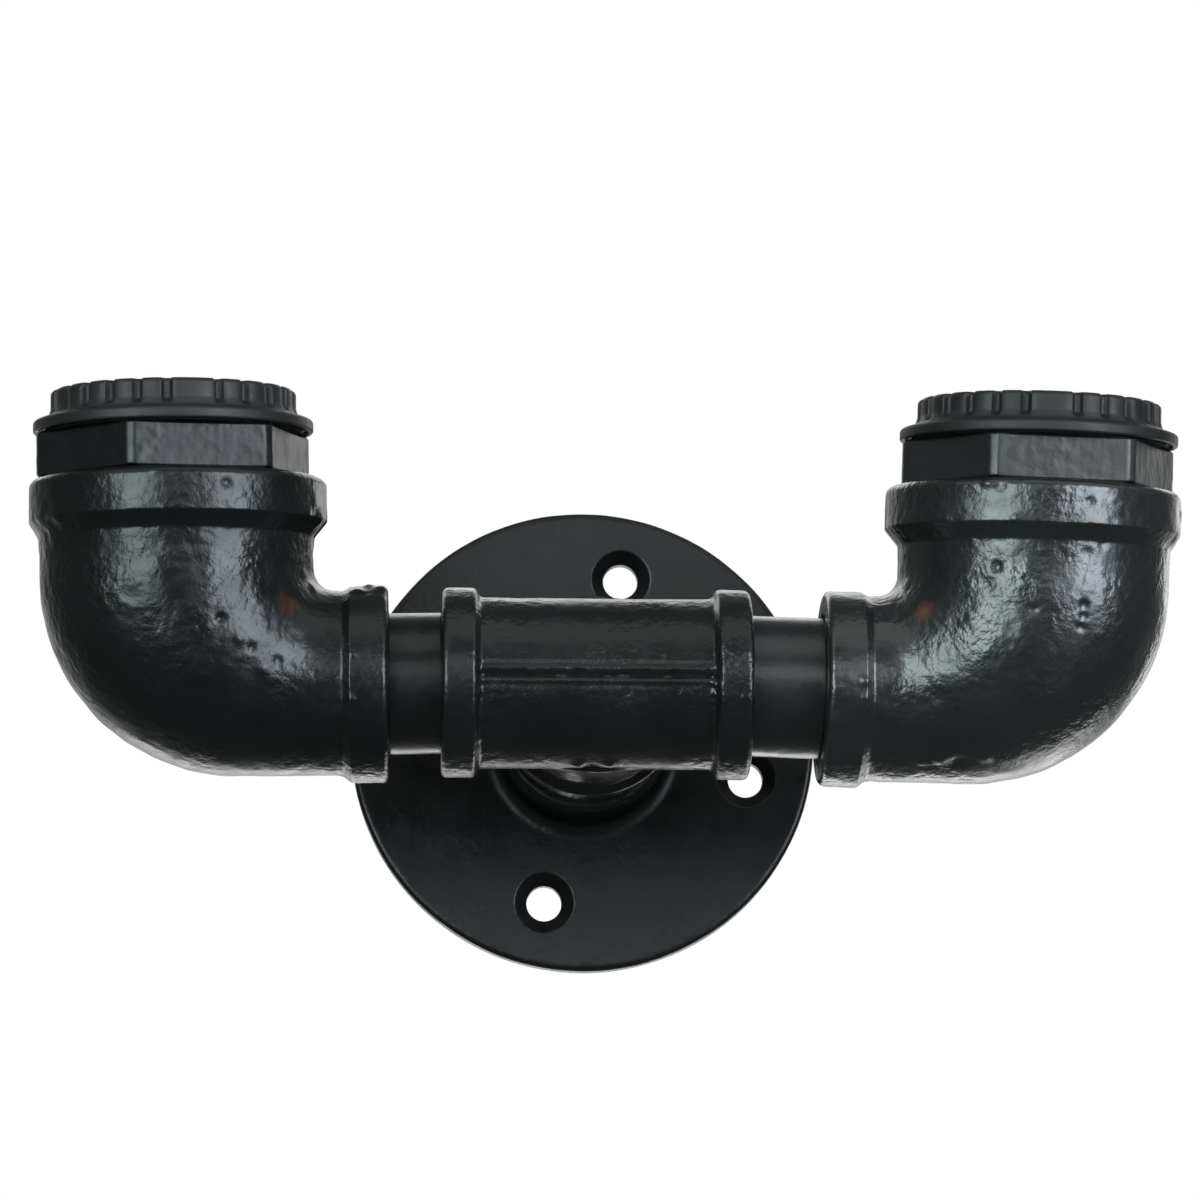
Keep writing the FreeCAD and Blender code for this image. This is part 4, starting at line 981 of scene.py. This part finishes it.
def make_shell(side, mat):
    z0, z1 = FLOOR + 3.4, RIM - 3.0
    t, pitch = 0.5, 3.629
    zz = np.arange(z0 + 1.0, z1 - 0.3, 0.28)
    inner = [(11.1, z0), (11.1, z0 + t), (12.6, z0 + t)]
    n = 160
    a = np.linspace(0, 2 * math.pi, n, endpoint=False)
    rows = []

    def helix(z, off):
        fade = smooth01((z - z0 - 0.8) / 1.2) * smooth01((z1 - 0.2 - z) / 1.2)
        wave = 0.5 - 0.5 * np.cos(2 * math.pi * (z / pitch - a / (2 * math.pi)))
        rr = SHELL_BORE_R - 0.05 - 1.05 * wave * fade - (1 - fade) * 0.15
        return np.stack([(rr + off) * np.cos(a), (rr + off) * np.sin(a), np.full(n, z)], -1)

    def flat(r, z):
        return np.stack([r * np.cos(a), r * np.sin(a), np.full(n, z)], -1)

    for r, z in inner:
        rows.append(flat(r, z))
    for z in zz:
        rows.append(helix(z, 0.0))
    rows.append(flat(SHELL_BORE_R - 0.1, z1 - 0.1))
    rows.append(flat(SHELL_BORE_R + 0.15, z1))
    rows.append(flat(SHELL_BORE_R + t, z1 - 0.1))
    for z in zz[::-1]:
        rows.append(helix(z, t))
    rows.append(flat(SHELL_BORE_R + 0.2, z0 + 0.3))
    rows.append(flat(SHELL_BORE_R - 0.1, z0))
    g = np.array(rows)
    ob = grid_object(side + "_screw_shell_drawn", g)
    strap = hull("strap", slab(11.3, 11.8, -2.5, 2.5, FLOOR + 0.2, FLOOR + 3.9, 0.1))
    foot = hull("foot", slab(5.4, 11.8, -2.5, 2.5, FLOOR + 0.2, FLOOR + 0.7, 0.1))
    hole = lathe("c", [(0, FLOOR - 1), (1.26, FLOOR - 1), (1.26, FLOOR + 3), (0, FLOOR + 3)], 32, shift(7.4, 0, 0))
    combine(foot, [hole])
    combine(ob, [strap, foot], "UNION")
    transform(ob, arm_frame(side))
    return finish(ob, mat, side + "_arm", "shell_metal", side + "_screw_shell", sharp=40)


# ------------------------------------------------------------------ build
RUST = (0.040, 0.015, 0.007)
# One iron paint in shaded and lit copies: the left elbow's darker base colour is painted shade, and the right elbow's
# lighter base colour with more gloss is painted light, standing in for the right side being more strongly lit.
PAINTED_SHADE_BASE, PAINTED_LIGHT_BASE = (0.0052, 0.0063, 0.0061), (0.0105, 0.0115, 0.0114)
iron = {"left": iron_paint("iron_left_painted_shade", base=PAINTED_SHADE_BASE, seed=1.0, colour_spots=[((-0.0584, -0.0920, 0.0112), 0.0019, RUST)], gloss=0.46),
        "right": iron_paint("iron_right_painted_light", base=PAINTED_LIGHT_BASE, seed=2.0, gloss=0.92,
                            # The right iron's spots: a rust tint, and a small pale grey speck.
                            colour_spots=[((0.0614, -0.0914, 0.0113), 0.0018, (0.105, 0.040, 0.030)), ((0.0808, -0.0967, -0.0048), 0.00035, (0.55, 0.56, 0.58))])}
iron_mid = iron_paint("iron_tee", seed=3.0)
iron_flange = iron_paint("iron_flange", base=(0.0050, 0.0060, 0.0061), rough=(0.30, 0.42), grain=0.06, seed=4.0, gloss=0.45)
# The right nipple's copy has a lighter base colour and more gloss than the left one: painted light, standing in for the
# right side being more strongly lit.
iron_pipe = {"left": iron_paint("iron_pipe_left", rough=(0.24, 0.34), grain=0.05, seed=5.0),
             "right": iron_paint("iron_pipe_right_painted_light", base=(0.0105, 0.0112, 0.0118), rough=(0.24, 0.34), grain=0.05, seed=5.5, gloss=0.75)}
# The bushings' copies of the iron paint: the left one's darker base colour is painted shade, and the right one's much
# lighter base colour with more gloss is painted light.
iron_hex = {"left": iron_paint("iron_hex_left_painted_shade", base=(0.0050, 0.0058, 0.0060), rough=(0.34, 0.46), grain=0.05, seed=6.0, gloss=0.5),
            "right": iron_paint("iron_hex_right_painted_light", base=(0.0130, 0.0134, 0.0138), rough=(0.34, 0.46), grain=0.05, seed=6.5, gloss=0.8)}
ring_mat = plain("ring_plastic", (0.0125, 0.0130, 0.0132), (0.45, 0.58), grain=0.08)
holder_mat = plain("holder_plastic", (0.013, 0.013, 0.0135), (0.35, 0.5))
base_mat = plain("contact_insulator", (0.62, 0.60, 0.55), (0.35, 0.5))
shell_mat = plain("shell_metal", (0.72, 0.70, 0.66), (0.22, 0.36), metal=1.0, grain=0.03)
brass_mat = plain("brass", (0.66, 0.48, 0.22), (0.25, 0.4), metal=1.0, grain=0.03)
zinc_mat = plain("zinc_steel", (0.56, 0.57, 0.58), (0.28, 0.42), metal=1.0, grain=0.05)
gasket_mat = plain("gasket_rubber", (0.012, 0.012, 0.012), (0.6, 0.75), grain=0.1)
live_mat = plain("live_wire", (0.16, 0.075, 0.035), (0.35, 0.45))
neutral_mat = plain("neutral_wire", (0.03, 0.10, 0.42), (0.35, 0.45))
block_mat = plain("block_plastic", (0.72, 0.71, 0.67), (0.4, 0.55))

make_flange(iron_flange)
y1 = -TEE_Y - TEE_BRANCH + ENGAGE
make_nipple("centre_nipple_pipe", 7.0, y1 - 7.0, FLANGE_H - 7.0 - 0.6, ENGAGE - 0.6, FACE, iron_pipe["left"], "wall_mount", "centre_nipple", 201)
make_tee(iron_mid)
for side in SIDES:
    ax = X_DOWN if side == "left" else X_UP
    make_nipple(side + "_nipple_pipe", TEE_HALF - ENGAGE, GAP[side] + 2 * ENGAGE, ENGAGE - 0.6, ENGAGE - 0.6, nipple_frame(side) @ ax, iron_pipe[side], "tee_body", side + "_nipple", 211)
    make_elbow(side, iron[side])
    make_hex(side, iron_hex[side])
    make_holder(side, holder_mat)
    make_shell(side, shell_mat)
    make_ring(side, ring_mat)

keep = {"terminal_block": block_mat, "terminal_clamps": brass_mat, "terminal_block_screws": zinc_mat, "block_live_leads": live_mat,
        "block_neutral_leads": neutral_mat, "earth_screw": zinc_mat, "earth_lug": brass_mat}
for side in SIDES:
    for tail, m in (("tee_live_lead", live_mat), ("tee_neutral_lead", neutral_mat), ("contact_base", base_mat), ("lampholder_end_cap", holder_mat),
                    ("contact_pad", brass_mat), ("terminals", brass_mat), ("contact_rivets", brass_mat), ("terminal_screws", zinc_mat),
                    ("arm_live_lead", live_mat), ("arm_neutral_lead", neutral_mat), ("centre_contact", brass_mat), ("ring_gasket", gasket_mat)):
        keep[side + "_" + tail] = m
for ob in list(bpy.data.objects):
    if ob.name in keep and ob.type == "MESH":
        for sl in ob.material_slots:
            sl.material = keep[ob.name]
